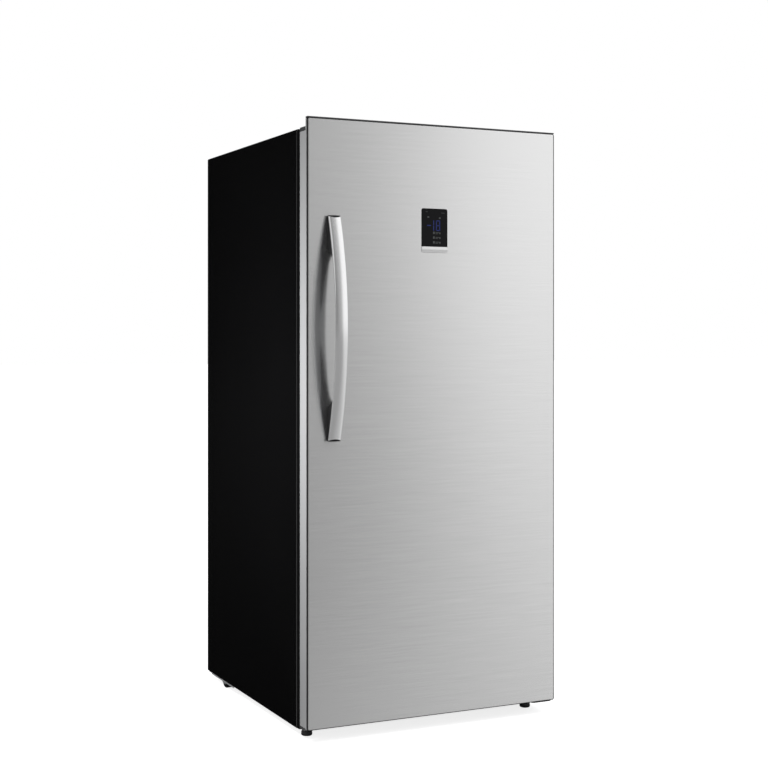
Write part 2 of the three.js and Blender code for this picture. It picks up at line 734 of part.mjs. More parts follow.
// A closed skin over rings of points that all have the same count.
function loft(positions, ring) {
  const rings = positions.length / 3 / ring;
  const index = [];
  for (let i = 0; i + 1 < rings; i += 1) {
    for (let j = 0; j < ring; j += 1) {
      const a = i * ring + j;
      const b = i * ring + (j + 1) % ring;
      index.push(a, b, b + ring, a, b + ring, a + ring);
    }
  }
  const last = (rings - 1) * ring;
  for (let j = 0; j < ring / 2 - 1; j += 1) {
    const k = ring - 1 - j;
    index.push(j, k, k - 1, j, k - 1, j + 1);
    index.push(last + j, last + k - 1, last + k, last + j, last + j + 1, last + k - 1);
  }
  const geometry = new THREE.BufferGeometry();
  geometry.setAttribute('position', new THREE.Float32BufferAttribute(positions, 3));
  geometry.setIndex(index);
  return geometry;
}

// Motor behind the fan: a turned can with a mounting plate and the shaft.
function fanMotor() {
  const can = turn('Y', [[0, 21], [19, 21], [22, 24], [22, 38], [18, 41], [0, 41]], 14);
  const plate = push('Y', roundedRect(-34, 34, -12, 12, 6), 40.5, 43);
  return join(can, plate, rod('Y', [0, 0], 2, 2, 22, 8));
}

// ---------------------------------------------------------------- inside fittings

function glassShelf() {
  return push('Z', roundedRect(-284, 284, shelfFront + 5, 556, 6), 0.3, 4.3);
}

// Extruded front trim that grips the glass from both faces.
function shelfTrim() {
  const outer = roundedOutline([[-8, -7, 3], [12, -2.2, 1], [12, 7.2, 1], [-8, 8, 4]]);
  const slot = block([-300, 300], [shelfFront + 4.5, shelfFront + 40], [0, 4.6]);
  const bar = push('X', outer, -273, 273, { bevel: { out: 0.8, along: 0.8, rows: 1 } });
  return cut(bar.translate([0, shelfFront + 4, 0]), slot);
}

// Welded wire basket: wires bent front to back in a U, lengthwise wires and hoops, and a heavier
// rim with a runner at each side that rides on the liner's ledges.
// Drawn from the middle of its front bottom edge.
function wireBasket() {
  const wide = 264;
  const deep = basketBack - basketFront;
  const high = basketTop - basketBottom;
  const wire = 3.2;
  const rimWire = 5.4;
  const lean = 5;                                  // the basket narrows this much to its floor
  const rimLevel = high - rimWire / 2;
  const runner = 282;
  const wires = [
    hoop(wide, 0, deep, rimLevel, rimWire),
  ];
  const across = 10;
  for (let i = 0; i < across; i += 1) {
    const x = (wide - lean) * (2 * i / (across - 1) - 1);
    const line = [[0, rimLevel], [lean, wire / 2], [deep - lean, wire / 2], [deep, rimLevel]];
    const bent = bentSheet(line, wire);
    wires.push(push('X', bent, x - wire / 2, x + wire / 2));
  }
  const rows = 3;
  for (let i = 0; i < rows; i += 1) {
    const y = deep * (i + 0.5) / rows;
    const floor = wide - lean;
    const line = [[-wide, rimLevel], [-floor, wire], [floor, wire], [wide, rimLevel]];
    const bent = bentSheet(line, wire);
    wires.push(push('Y', bent, y - wire / 2, y + wire / 2));
  }
  for (const side of [-1, 1]) {
    wires.push(rod('Y', [side * runner, rimLevel], rimWire / 2, 12, deep - 12, 8));
    for (const y of [16, deep / 2, deep - 16]) {
      const level = [rimLevel - wire / 2, rimLevel + wire / 2];
      wires.push(block(span(side * wide, side * runner), [y - wire / 2, y + wire / 2], level));
    }
  }
  return join(...wires);
}

// A level hoop of wire around the basket.
function hoop(halfWide, front, back, level, wire) {
  const ring = (grow, radius) => (
    roundedRect(-halfWide - grow, halfWide + grow, front - grow, back + grow, radius)
  );
  const outline = ring(wire / 2, 9);
  outline.holes.push(ring(-wire / 2, 6));
  return push('Z', outline, level - wire / 2, level + wire / 2);
}

function lampLens() {
  const bevel = { out: 2.5, along: 2.5, rows: 1 };
  return push('Z', roundedRect(-70, 70, -22, 22, 10), -9, -clearance, { bevel });
}

// ---------------------------------------------------------------- door

// Stainless skin, roll-formed: a shallow slope along both sides and a hem turned in behind it,
// with a hole for the touch panel.
function doorPanel() {
  const slope = 7;
  const hem = 3;
  const right = [
    [half - slope, 0], [half - 0.9, 0.35], [half, 1.1, 0.5], [half, skinDepth], [half - hem, skinDepth],
    [half - hem, 1.2],
  ];
  const left = right.map(([x, y, radius]) => [-x, y, radius]).reverse();
  const section = push('Z', roundedOutline([...left, ...right]), 0, doorTop);
  const corners = push('Y', roundedRect(-half, half, skinBottom, skinTop, 6), -1, 5, { curveSegments: 2 });
  const hole = block([panel.left - 0.4, panel.right + 0.4], [-1, 5], [panel.bottom - 0.4, panel.top + 0.4]);
  return cut(common(section, corners), hole);
}

// Rear corner radius of the door's body: sharp by the handle, round where it swings at the hinge.
function rearCorner(side) {
  return side > 0 ? 8 : 2.5;
}

// Side trim: a full-height rim behind the skin's groove, then the wide strip of the door's side.
function doorTrim(side) {
  const place = (points) => points.map(([inward, y, radius]) => [side * (half - inward), y, radius]);
  const back = doorBodyBack - clearance;
  const front = skinDepth + clearance;
  const rim = roundedOutline(place([
    [6, front], [6, 7.5], [0, 7.5, 0.8], [0, 13.5, 0.6], [7.5, 13.5], [7.5, front],
  ]));
  const strip = roundedOutline(place([
    [0.9, 13], [0.3, 14.4], [0.3, back, rearCorner(side)], [10, back], [10, 48.3], [7.5, 48.3], [7.5, 13],
  ]));
  return join(
    push('Z', rim, skinBottom + 0.2, skinTop - 0.3, { curveSegments: 2 }),
    push('Z', strip, sideStrip.bottom, sideStrip.top, { curveSegments: 2 }),
  );
}

// Plan of a cap behind the rim of the side trims, its rear corners rounded like theirs.
function capPlan(front) {
  const side = half - 0.2;
  const back = doorBodyBack - clearance;
  return roundedOutline([
    [-side, front], [side, front], [side, back, rearCorner(1)], [-side, back, rearCorner(-1)],
  ]);
}

// Top cap: a lid over the door's body, a plug inside it, and the lip that covers the skin's edge.
function doorTopCap() {
  const bottom = sideStrip.top + clearance;
  const inner = half - 7.8;
  const lid = push('Z', capPlan(13.8), bottom, cabinetTop, { curveSegments: 2 });
  const lip = join(
    block([-inner, inner], [2.9, 14], [bottom, skinTop + 1]),
    block([-half + 0.3, half - 0.3], [0.4, 13.6], [skinTop + clearance, doorTop]),
  );
  const plug = block([-inner, inner], [1.5, 47.7], [bottom - 10, bottom + 1]);
  const bushing = rod('Z', [hinge.x, hinge.y], 8.3, 1400, 1600, 12);
  return cut(join(lid, lip, plug), bushing);
}

// Bottom cap, cut away above the bottom hinge's leaf.
function doorBottomCap() {
  const top = sideStrip.bottom - clearance;
  const inner = half - 7.8;
  const back = doorBodyBack - clearance;
  const section = roundedOutline([
    [13.8, 33], [20, 30.5, 2], [44, 30.5, 3], [back, 34], [back, top], [13.8, top],
  ]);
  const band = common(
    push('X', section, -half + 0.2, half - 0.2),
    push('Z', capPlan(10), 0, 100, { curveSegments: 2 }),
  );
  const front = block([-inner, inner], [2.9, 14], [skinBottom + 1, 47]);
  const plug = block([-inner, inner], [2.9, 47.7], [top - 1, 47]);
  const overLeaf = block([hinge.x - 56, half + 1], [-1, 60], [0, 36]);
  const bushing = rod('Z', [hinge.x, hinge.y], 8.3, 0, 100, 12);
  return cut(join(band, front, plug), overLeaf, bushing);
}

// The ring-shaped wall that stands on the door liner, drawn thinner by an inset.
function dykeRing(inset, from, to) {
  const outline = roundedRect(
    -dyke.halfWidth + inset, dyke.halfWidth - inset, dyke.bottom + inset, dyke.top - inset, 16 - inset,
  );
  const inner = dyke.thick - inset;
  outline.holes.push(roundedRect(
    -dyke.halfWidth + inner, dyke.halfWidth - inner, dyke.bottom + inner, dyke.top - inner, 8 + inset,
  ));
  return push('Y', outline, from, to);
}

// Door liner: the flange, the hollow dyke, and a lug under each end of every bin.
function doorLiner() {
  const side = half - 10.3;
  const outline = roundedRect(-side, side, sideStrip.bottom + 1, sideStrip.top - 1, 4);
  const flat = push('Y', outline, 48.3, doorBodyBack - clearance);
  const inner = dyke.halfWidth - dyke.thick;
  const lugs = [];
  for (const level of binLevels) {
    for (const side of [-1, 1]) {
      const reach = span(side * (inner + 1), side * (inner - 12));
      lugs.push(block(reach, [60, 112], [level - 6, level - clearance]));
    }
  }
  const walls = join(flat, dykeRing(0, 48.3, dyke.reach), ...lugs);
  return cut(walls, dykeRing(linerWall, 40, dyke.reach - linerWall));
}

// Foam of the door, out into the dyke, round the panel's housing and the bushings.
function doorFoam() {
  const bulk = block([-half + 7.8, half - 7.8], [1.5, 48], [47.3, sideStrip.top - 10]);
  const inDyke = dykeRing(linerWall + clearance, 40, dyke.reach - linerWall - clearance);
  const housing = block([panel.left - 2, panel.right + 2], [-1, 26], [panel.bottom - 2, panel.top + 2]);
  const bushings = [[0, 62], [1480, 1600]].map(([from, to]) => (
    rod('Z', [hinge.x, hinge.y], 8.3, from, to, 12)
  ));
  return cut(join(bulk, inDyke), housing, ...bushings);
}

// Magnetic gasket: a base that fills the groove, and a softer lip that meets the cabinet.
function doorGasket() {
  const frame = (outer, inner, from, to) => {
    const outline = roundedRect(-outer, outer, 60 + (336 - outer), 1495 - (336 - outer), 8);
    outline.holes.push(roundedRect(-inner, inner, 60 + (336 - inner), 1495 - (336 - inner), 5));
    return push('Y', outline, from, to);
  };
  return join(
    frame(336, 308, doorBodyBack, 52.6),
    frame(333, 312, 52.2, doorDepth - clearance),
  );
}

// Door bin: a tray with a leaning front, a lower wall towards the door, and closed ends.
function doorBin() {
  const outline = (inset) => roundedOutline([
    [51.5 + inset, inset, 4],
    [150 - inset * 0.7, inset, 14],
    [168 - inset, 96 + inset, 0],
    [51.5 + inset, 96 + inset, 0],
  ]);
  const wall = 2.5;
  const outside = push('X', outline(0), -binHalfWidth, binHalfWidth, { curveSegments: 2 });
  const inside = push('X', outline(wall), -binHalfWidth + wall, binHalfWidth - wall, { curveSegments: 2 });
  const rearDrop = block([-binHalfWidth + 20, binHalfWidth - 20], [40, 60], [58, 120]);
  const edge = roundedOutline([[164, 91], [170.5, 91], [170.5, 96, 1.5], [164, 96]]);
  const lip = push('X', edge, -binHalfWidth, binHalfWidth);
  return cut(join(cut(outside, inside), lip), rearDrop);
}

function bushing(bore, low, high) {
  return cut(rod('Z', [0, 0], 8, low, high, 16), rod('Z', [0, 0], bore, low - 1, high + 1, 12));
}

// ---------------------------------------------------------------- handle

// The handle's back follows one wide arc, from a foot's height at both ends to the full bow.
const handleMiddle = (handle.bottom + handle.top) / 2;
const handleHalf = (handle.top - handle.bottom) / 2;
const handleSag = handle.bow - handle.foot;
const handleRadius = (handleHalf ** 2 + handleSag ** 2) / (2 * handleSag);

// The arc of a layer that lies so far outside the handle's back, past both ends.
class BowCurve extends THREE.Curve {
  constructor(layer, overrun = 30) {
    super();
    this.radius = handleRadius + layer;
    this.reach = Math.asin(handleHalf / handleRadius) + overrun / handleRadius;
  }

  getPoint(t, target = new THREE.Vector3()) {
    const angle = this.reach * (2 * t - 1);
    const centre = handle.bow - handleRadius;
    return target.set(
      0,
      -(centre + this.radius * Math.cos(angle)),
      handleMiddle + this.radius * Math.sin(angle),
    );
  }
}

// A section swept along the bow. Its points are [across, out], out from the handle's back.
function bowed(section, steps = 16) {
  const curve = new BowCurve(0);
  const positions = [];
  for (let i = 0; i <= steps; i += 1) {
    const t = i / steps;
    const point = curve.getPoint(t);
    const angle = curve.reach * (2 * t - 1);
    for (const [across, out] of section) {
      positions.push(across, point.y - out * Math.cos(angle), point.z + out * Math.sin(angle));
    }
  }
  return solid(loft(positions, section.length));
}

// The bow leans to the door's free edge: a point moves sideways the further it stands out.
function leaned(shape) {
  const perDepth = handle.lean / (handle.bow - handle.foot);
  const matrix = new THREE.Matrix4().set(
    1, perDepth, 0, perDepth * handle.foot,
    0, 1, 0, 0,
    0, 0, 1, 0,
    0, 0, 0, 1,
  );
  return shape.transform(matrix.elements);
}

// Section of the handle: flat back, short sides and a crowned front.
function handleSection(halfWide, back, shoulder, crown) {
  const rows = 6;
  const points = [];
  for (let i = 0; i <= rows; i += 1) {
    const s = 2 * i / rows - 1;
    points.push([s * halfWide, shoulder + (crown - shoulder) * Math.sqrt(1 - 0.96 * s * s)]);
  }
  for (let i = 0; i <= rows; i += 1) {
    const s = 1 - 2 * i / rows;
    points.push([s * halfWide, back]);
  }
  return points;
}

const handleHalfWide = handle.wide / 2;
const plugLength = 5;

// What the end plugs cut from the front cover: a shallow hollow in each end.
function plugZone(room) {
  const bowl = 44;
  const depth = plugLength + room;
  return [-1, 1].map((side) => {
    const end = side > 0 ? handle.top : handle.bottom;
    return push('Y', circle(0, end + side * (bowl - depth), bowl), -90, 10, { curveSegments: 20 });
  });
}

function handleEnds() {
  return block([-30, 30], [-120, 20], [handle.bottom, handle.top]);
}

// Satin front of the handle, crowned across and bowed along, its ends hollowed for the plugs.
function handleCover() {
  const section = handleSection(handleHalfWide, 4, 7.4, handle.thick);
  return leaned(cut(common(bowed(section), handleEnds()), ...plugZone(clearance)));
}

// Black core: the strip behind the cover, the plugs in its ends and the two wedge feet.
function handleCore() {
  const strip = bowed(handleSection(handleHalfWide - 1.3, 0, 3.5, 3.7));
  const whole = bowed(handleSection(handleHalfWide, 0, 7.4, handle.thick));
  const plugs = common(whole, join(...plugZone(0)));
  const feet = [-1, 1].map((side) => {
    const end = side > 0 ? handle.top : handle.bottom;
    const at = (distance) => end - side * distance;
    const outline = new THREE.Shape();
    outline.moveTo(-clearance, at(-5));
    outline.lineTo(-clearance, at(92));
    outline.quadraticCurveTo(-18, at(86), -handleOut(at(74)) - 2, at(74));
    outline.lineTo(-handleOut(at(40)) - 2, at(40));
    outline.lineTo(-handleOut(at(0)) - 2, at(0));
    outline.lineTo(-handleOut(at(0)) - 2, at(-5));
    outline.closePath();
    return push('X', outline, -handleHalfWide + 1.5, handleHalfWide - 1.5, { curveSegments: 6 });
  });
  const bodyOnly = block([-30, 30], [-120, -clearance], [handle.bottom, handle.top]);
  const underCover = cut(join(strip, ...feet), overStrip());
  return leaned(common(join(underCover, plugs), bodyOnly));
}

// Everything outside the strip, so that the feet end at its face.
function overStrip() {
  return bowed([[-40, 3.7], [40, 3.7], [40, 60], [-40, 60]]);
}

// Stand-off of the handle's back at a height.
function handleOut(z) {
  return handle.bow - handleRadius + Math.sqrt(handleRadius ** 2 - (z - handleMiddle) ** 2);
}

// ---------------------------------------------------------------- touch panel

function controlGlass() {
  const outline = roundedOutline([
    [panel.left, panel.split + 0.2], [panel.right, panel.split + 0.2],
    [panel.right, panel.top, 5], [panel.left, panel.top, 5],
  ]);
  return push('Y', outline, -0.5, 2.4, { bevel: { out: 0.5, along: 0.5, rows: 1 } });
}

function controlTrim() {
  const section = roundedOutline([
    [-0.8, panel.bottom + 1.5, 1], [-1.6, (panel.bottom + panel.split) / 2, 3],
    [-0.6, panel.split - 0.4, 1], [2.4, panel.split - 0.1], [2.4, panel.bottom], [0, panel.bottom],
  ]);
  return push('X', section, panel.left, panel.right);
}

// Housing behind the glass: an open box with a boss at each corner.
function controlHousing() {
  const box = (grow, from, to) => block(
    [panel.left - grow, panel.right + grow], [from, to], [panel.bottom - grow, panel.top + grow],
  );
  const outer = box(1.5, 2.7, 25);
  const inner = box(-1, 2, 22.5);
  const bosses = [];
  for (const x of [panel.left + 6, panel.right - 6]) {
    for (const z of [panel.bottom + 8, panel.top - 6]) bosses.push(rod('Y', [x, z], 4, 2.7, 23, 8));
  }
  return join(cut(outer, inner), ...bosses);
}

// ---------------------------------------------------------------- assembly

const toCabinetFace = doorDepth - hinge.y;
const bothSides = [['left', -1], ['right', 1]];

const casing = group(
  [0, 0, 0],
  piece('outer_shell', outerShell(), 'blackPaint'),
  piece('rear_panel', rearPanel(), 'galvanised'),
  piece('foam_insulation', foamInsulation(), 'foam'),
  piece('inner_liner', innerLiner(), 'whitePlastic'),
  piece('base_pan', basePan(), 'galvanised'),
);

const hinges = group(
  [hinge.x, -toCabinetFace, 0],
  piece('top_hinge', topHinge(), 'steel', [0, 0, cabinetTop]),
  piece('top_hinge_cover', hingeCover(), 'blackPlastic', [0, 0, cabinetTop]),
  piece('bottom_hinge', bottomHinge(), 'blackPaint'),
);

const feet = group(
  [0, leg.y, 0],
  ...bothSides.map(([name, side]) => (
    piece(`levelling_leg_${name}`, levellingLeg(), 'darkPlastic', [side * leg.x, 0, 0])
  )),
);

const rollers = group([0, roller.y, roller.radius]);
for (const [name, side] of bothSides) {
  const corner = group(
    [side * roller.x, 0, 0],
    piece(`rear_roller_${name}`, rearRoller(), 'blackPlastic'),
    piece(`roller_bracket_${name}`, rollerBracket(), 'galvanised'),
    piece(`roller_axle_${name}`, rollerAxle(), 'steel'),
  );
  if (side > 0) corner.rotation.z = Math.PI;
  rollers.add(corner);
}

const machineRoom = group(
  [0, 0, 0],
  piece('compressor_plate', compressorPlate(), 'galvanised'),
  group(
    [compressorAt.x, compressorAt.y, 0],
    piece('compressor', compressor(), 'blackPaint', [0, 0, footHeight]),
    piece('compressor_terminal_cover', terminalCover(), 'blackPlastic', [0, -70.4, footHeight]),
    piece('drain_pan', drainPan(), 'blackPlastic', [0, 0, footHeight + 150 + clearance]),
    ...grommetPlaces().map(([x, y], i) => (
      piece(`compressor_grommet_${i + 1}`, grommet(), 'rubber', [x, y, plateTop + clearance])
    )),
  ),
  piece('drain_tube', drainTube(), 'blackPlastic', [drainAt.x, drainAt.y, 0]),
  piece('suction_line', suctionLine(), 'copper'),
  piece('rear_cover', rearCover(), 'galvanised'),
  piece('power_inlet', powerInlet(), 'blackPlastic', [inletAt.x, cabinetDepth - 4.3, inletAt.z]),
);

const coldSide = group(
  [0, coverFace, 0],
  piece('evaporator_cover', evaporatorCover(), 'whitePlastic'),
  piece('evaporator', evaporator(), 'aluminium', [0, 14.7, 562]),
  piece('evaporator_fan', evaporatorFan(), 'blackPlastic', [fanAt.x, 5, fanAt.z]),
  piece('fan_motor', fanMotor(), 'steel', [fanAt.x, 5.7, fanAt.z]),
);

const fittings = group(
  [0, 0, 0],
  ...shelfLevels.map((level, i) => piece(`glass_shelf_${i + 1}`, glassShelf(), 'glass', [0, 0, level])),
  ...shelfLevels.map((level, i) => piece(`shelf_trim_${i + 1}`, shelfTrim(), 'satinSilver', [0, 0, level])),
  piece('lamp_lens', lampLens(), 'clearPlastic', [0, 240, cavity.top]),
  piece('wire_basket', wireBasket(), 'whiteWire', [0, basketFront, basketBottom]),
);

const cabinet = group([0, cabinetFace, 0], casing, hinges, feet, rollers, machineRoom, coldSide, fittings);

// The door turns about the hinge pins, so its group stands on their axis.
const doorPieces = group(
  [-hinge.x, -hinge.y, 0],
  piece('door_panel', doorPanel(), 'stainless'),
  ...bothSides.map(([name, side]) => piece(`door_trim_${name}`, doorTrim(side), 'silverTrim')),
  piece('door_top_cap', doorTopCap(), 'darkPlastic'),
  piece('door_bottom_cap', doorBottomCap(), 'darkPlastic'),
  piece('door_foam', doorFoam(), 'foam'),
  piece('door_liner', doorLiner(), 'whitePlastic'),
  piece('door_gasket', doorGasket(), 'rubber'),
  ...binLevels.map((level, i) => piece(`door_bin_${i + 1}`, doorBin(), 'clearPlastic', [0, 0, level])),
  piece('hinge_bushing_top', bushing(4.3, 1494, cabinetTop - 0.4), 'whitePlastic', [hinge.x, hinge.y, 0]),
  piece('hinge_bushing_bottom', bushing(5.3, 36.4, 60), 'whitePlastic', [hinge.x, hinge.y, 0]),
  piece('handle_cover', handleCover(), 'satinSilver', [handle.x, 0, 0]),
  piece('handle_core', handleCore(), 'blackPlastic', [handle.x, 0, 0]),
  piece('control_glass', controlGlass(), 'blackGlass'),
  piece('control_trim', controlTrim(), 'satinSilver'),
  piece('control_housing', controlHousing(), 'blackPlastic'),
);

const door = group([hinge.x, doorFace + hinge.y, 0], doorPieces);

const freezer = group([0, 0, 0], cabinet, door);
freezer.name = 'upright_freezer';

export default freezer;
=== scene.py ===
"""Looks of the upright freezer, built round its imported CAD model. Metres, +Z up, door towards -Y."""

import json
import math

import bmesh
import bpy
from mathutils import Matrix, Vector


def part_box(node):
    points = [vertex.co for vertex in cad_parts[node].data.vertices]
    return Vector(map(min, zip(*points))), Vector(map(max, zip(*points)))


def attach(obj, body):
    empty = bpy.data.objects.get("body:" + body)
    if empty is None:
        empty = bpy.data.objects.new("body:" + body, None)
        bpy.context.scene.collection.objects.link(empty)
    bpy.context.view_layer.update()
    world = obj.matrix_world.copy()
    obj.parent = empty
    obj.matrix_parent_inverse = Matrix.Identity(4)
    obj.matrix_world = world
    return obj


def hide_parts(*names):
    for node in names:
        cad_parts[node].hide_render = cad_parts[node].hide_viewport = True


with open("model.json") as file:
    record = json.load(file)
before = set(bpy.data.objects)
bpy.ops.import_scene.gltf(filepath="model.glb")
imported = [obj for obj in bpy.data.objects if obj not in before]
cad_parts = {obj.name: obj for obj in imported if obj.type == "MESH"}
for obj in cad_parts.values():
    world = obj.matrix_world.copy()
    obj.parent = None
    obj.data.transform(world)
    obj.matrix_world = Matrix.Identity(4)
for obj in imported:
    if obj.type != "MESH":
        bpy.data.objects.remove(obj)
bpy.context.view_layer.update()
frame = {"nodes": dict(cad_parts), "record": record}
NODES = frame["nodes"]
SLOTS = {row["node"]: row["material_slot"] for row in frame["record"]["subparts"]}
BODIES = {n: body for body, members in frame["record"]["behaviour"]["bodies"].items() for n in members}

MM = 0.001
DOOR = -0.33075                 # y of the door's face
CABINET = -0.27575              # y of the cabinet's face
HALF = 355.5                    # half the width, mm
WHITE = (1, 1, 1, 1)

# ------------------------------------------------------------------ camera, world, lamps, floor


# Solved from the photo for a cabinet of this depth. Another depth needs another lens, turn and shift.
LENS, SENSOR = 65.86, 36        # mm
CAMERA_SHIFT = (0.0578, -0.0660)
CAMERA_PLACE = (-1.714, -3.47975, 1.007)
CAMERA_TURN = -24.64            # degrees about Z, and the camera looks level


def make_camera():
    data = bpy.data.cameras.new("camera")
    data.lens = LENS
    data.sensor_width = SENSOR
    data.shift_x, data.shift_y = CAMERA_SHIFT
    camera = bpy.data.objects.new("camera", data)
    camera.location = CAMERA_PLACE
    camera.rotation_euler = (math.radians(90), 0, math.radians(CAMERA_TURN))
    bpy.context.scene.collection.objects.link(camera)
    bpy.context.scene.camera = camera


def node(tree, kind, inputs=None, **settings):
    made = tree.nodes.new(kind)
    for key, value in settings.items():
        setattr(made, key, value)
    for key, value in (inputs or {}).items():
        made.inputs[key].default_value = value
    return made


def grey_ramp(tree, stops, ease="LINEAR"):
    """A colour ramp from [place, grey] pairs."""
    ramp = node(tree, "ShaderNodeValToRGB")
    ramp.color_ramp.interpolation = ease
    elements = ramp.color_ramp.elements
    while len(elements) < len(stops):
        elements.new(0.5)
    for element, (place, grey) in zip(elements, stops):
        element.position = place
        element.color = (grey, grey, grey, 1)
    return ramp


# Greys that gloss sees. Places run from 0 to 1 for directions from -1 to 1 along an axis.
FLAGS_ACROSS = [                # from the left, grey, to the right, white
    (0.00, 0.16), (0.25, 0.17), (0.38, 0.19), (0.50, 0.26), (0.60, 0.35), (0.698, 0.43),
    (0.714, 0.52), (0.729, 0.69), (0.745, 0.87), (0.760, 0.97), (0.780, 1.0),
]
DARK_SIDE = (-0.42, 0.91, 0)    # towards the dark flag that the cabinet's left side mirrors
DARK_FLAG = [(0.78, 1.0), (0.93, 0.05), (1.0, 0.03)]
CORNER_LIGHT = (-0.80, 0.60, 0.0)    # towards the light in the shoulder by the cabinet's front edge
SOFTBOXES = (                   # direction, places of its edge and core, grey
    (CORNER_LIGHT, 0.985, 0.995, 1.5),
    ((-0.70, -0.40, 0.59), 0.92, 0.97, 0.55),
)
STUDIO_LIGHT = 0.62             # strength of the even light on matt surfaces


def make_world():
    """White to the camera and through glass. Gloss sees that white with grey flags before it, at the
    left and behind the freezer's left side, and two softboxes. Matt surfaces get an even light."""
    world = bpy.data.worlds.new("studio")
    bpy.context.scene.world = world
    world.use_nodes = True
    tree = world.node_tree
    tree.nodes.clear()
    link = tree.links.new
    where = node(tree, "ShaderNodeTexCoord")
    split = node(tree, "ShaderNodeSeparateXYZ")
    link(where.outputs["Generated"], split.inputs[0])

    def unit(value):
        """From -1..1 to 0..1."""
        scaled = node(tree, "ShaderNodeMapRange", {1: -1.0, 2: 1.0, 3: 0.0, 4: 1.0})
        link(value, scaled.inputs[0])
        return scaled.outputs[0]

    across = grey_ramp(tree, FLAGS_ACROSS)
    link(unit(split.outputs["X"]), across.inputs[0])
    behind = node(tree, "ShaderNodeVectorMath", {1: DARK_SIDE}, operation="DOT_PRODUCT")
    link(where.outputs["Generated"], behind.inputs[0])
    dark = grey_ramp(tree, DARK_FLAG)
    link(unit(behind.outputs["Value"]), dark.inputs[0])
    flags = node(tree, "ShaderNodeMix", {0: 1.0}, data_type="RGBA", blend_type="MULTIPLY")
    link(across.outputs["Color"], flags.inputs[6])
    link(dark.outputs["Color"], flags.inputs[7])
    lit = flags.outputs[2]
    for towards, edge, core, grey in SOFTBOXES:
        aim = node(tree, "ShaderNodeVectorMath", {1: towards}, operation="DOT_PRODUCT")
        link(where.outputs["Generated"], aim.inputs[0])
        box = grey_ramp(tree, [(edge, 0.0), (core, grey)], "EASE")
        link(unit(aim.outputs["Value"]), box.inputs[0])
        more = node(tree, "ShaderNodeMix", {0: 1.0}, data_type="RGBA", blend_type="ADD")
        link(lit, more.inputs[6])
        link(box.outputs["Color"], more.inputs[7])
        lit = more.outputs[2]

    gloss = node(tree, "ShaderNodeBackground", {"Strength": 1.0})
    link(lit, gloss.inputs["Color"])
    matt = node(tree, "ShaderNodeBackground", {"Color": WHITE, "Strength": STUDIO_LIGHT})
    white = node(tree, "ShaderNodeBackground", {"Color": WHITE, "Strength": 1.0})
    path = node(tree, "ShaderNodeLightPath")
    seen = node(tree, "ShaderNodeMath", operation="MAXIMUM")
    link(path.outputs["Is Camera Ray"], seen.inputs[0])
    link(path.outputs["Is Transmission Ray"], seen.inputs[1])
    reflected = node(tree, "ShaderNodeMixShader")
    link(path.outputs["Is Glossy Ray"], reflected.inputs[0])
    link(matt.outputs[0], reflected.inputs[1])
    link(gloss.outputs[0], reflected.inputs[2])
    mix = node(tree, "ShaderNodeMixShader")
    link(seen.outputs[0], mix.inputs[0])
    link(reflected.outputs[0], mix.inputs[1])
    link(white.outputs[0], mix.inputs[2])
    out = node(tree, "ShaderNodeOutputWorld")
    link(mix.outputs[0], out.inputs["Surface"])


def make_lamp(name, at, aim, size, watts):
    data = bpy.data.lights.new(name, "AREA")
    data.shape = "RECTANGLE"
    data.size, data.size_y = size
    data.energy = watts
    lamp = bpy.data.objects.new(name, data)
    lamp.location = at
    lamp.rotation_euler = (Vector(aim) - Vector(at)).to_track_quat("-Z", "Y").to_euler()
    lamp.visible_camera = False
    lamp.visible_glossy = False
    bpy.context.scene.collection.objects.link(lamp)


FLOOR_REACH = 40                # m each way
FLOOR_COLOUR = (0.8, 0.8, 0.8, 1)
FLOOR_GLOW = 0.80               # added for the camera, so that the floor ends up white
FLOOR_BOUNCE = (0.42, 0.42, 0.42, 1)    # what matt surfaces see of it
# What gloss sees of the floor is painted light and shade: MapRange inputs, from two places (m) to two
# strengths, and for the painted glint from two cosines. Behind the door's front it is painted shade,
# nearly black.
FLOOR_BESIDE = (1, 0.544, 0)    # direction in which its painted light gets lighter
FLOOR_PAINTED_LIGHT = {1: -0.75, 2: 0.55, 3: 0.30, 4: 0.66}
FLOOR_PAINTED_SHADE = {1: -0.37, 2: -0.31, 3: 1.0, 4: 0.02}
FLOOR_CORNER = (-0.36, -0.27, 0)    # foot of the cabinet's front left edge, where the painted glint starts
FLOOR_PAINTED_GLINT = {1: 0.97, 2: 0.99, 3: 0.0, 4: 1.6}


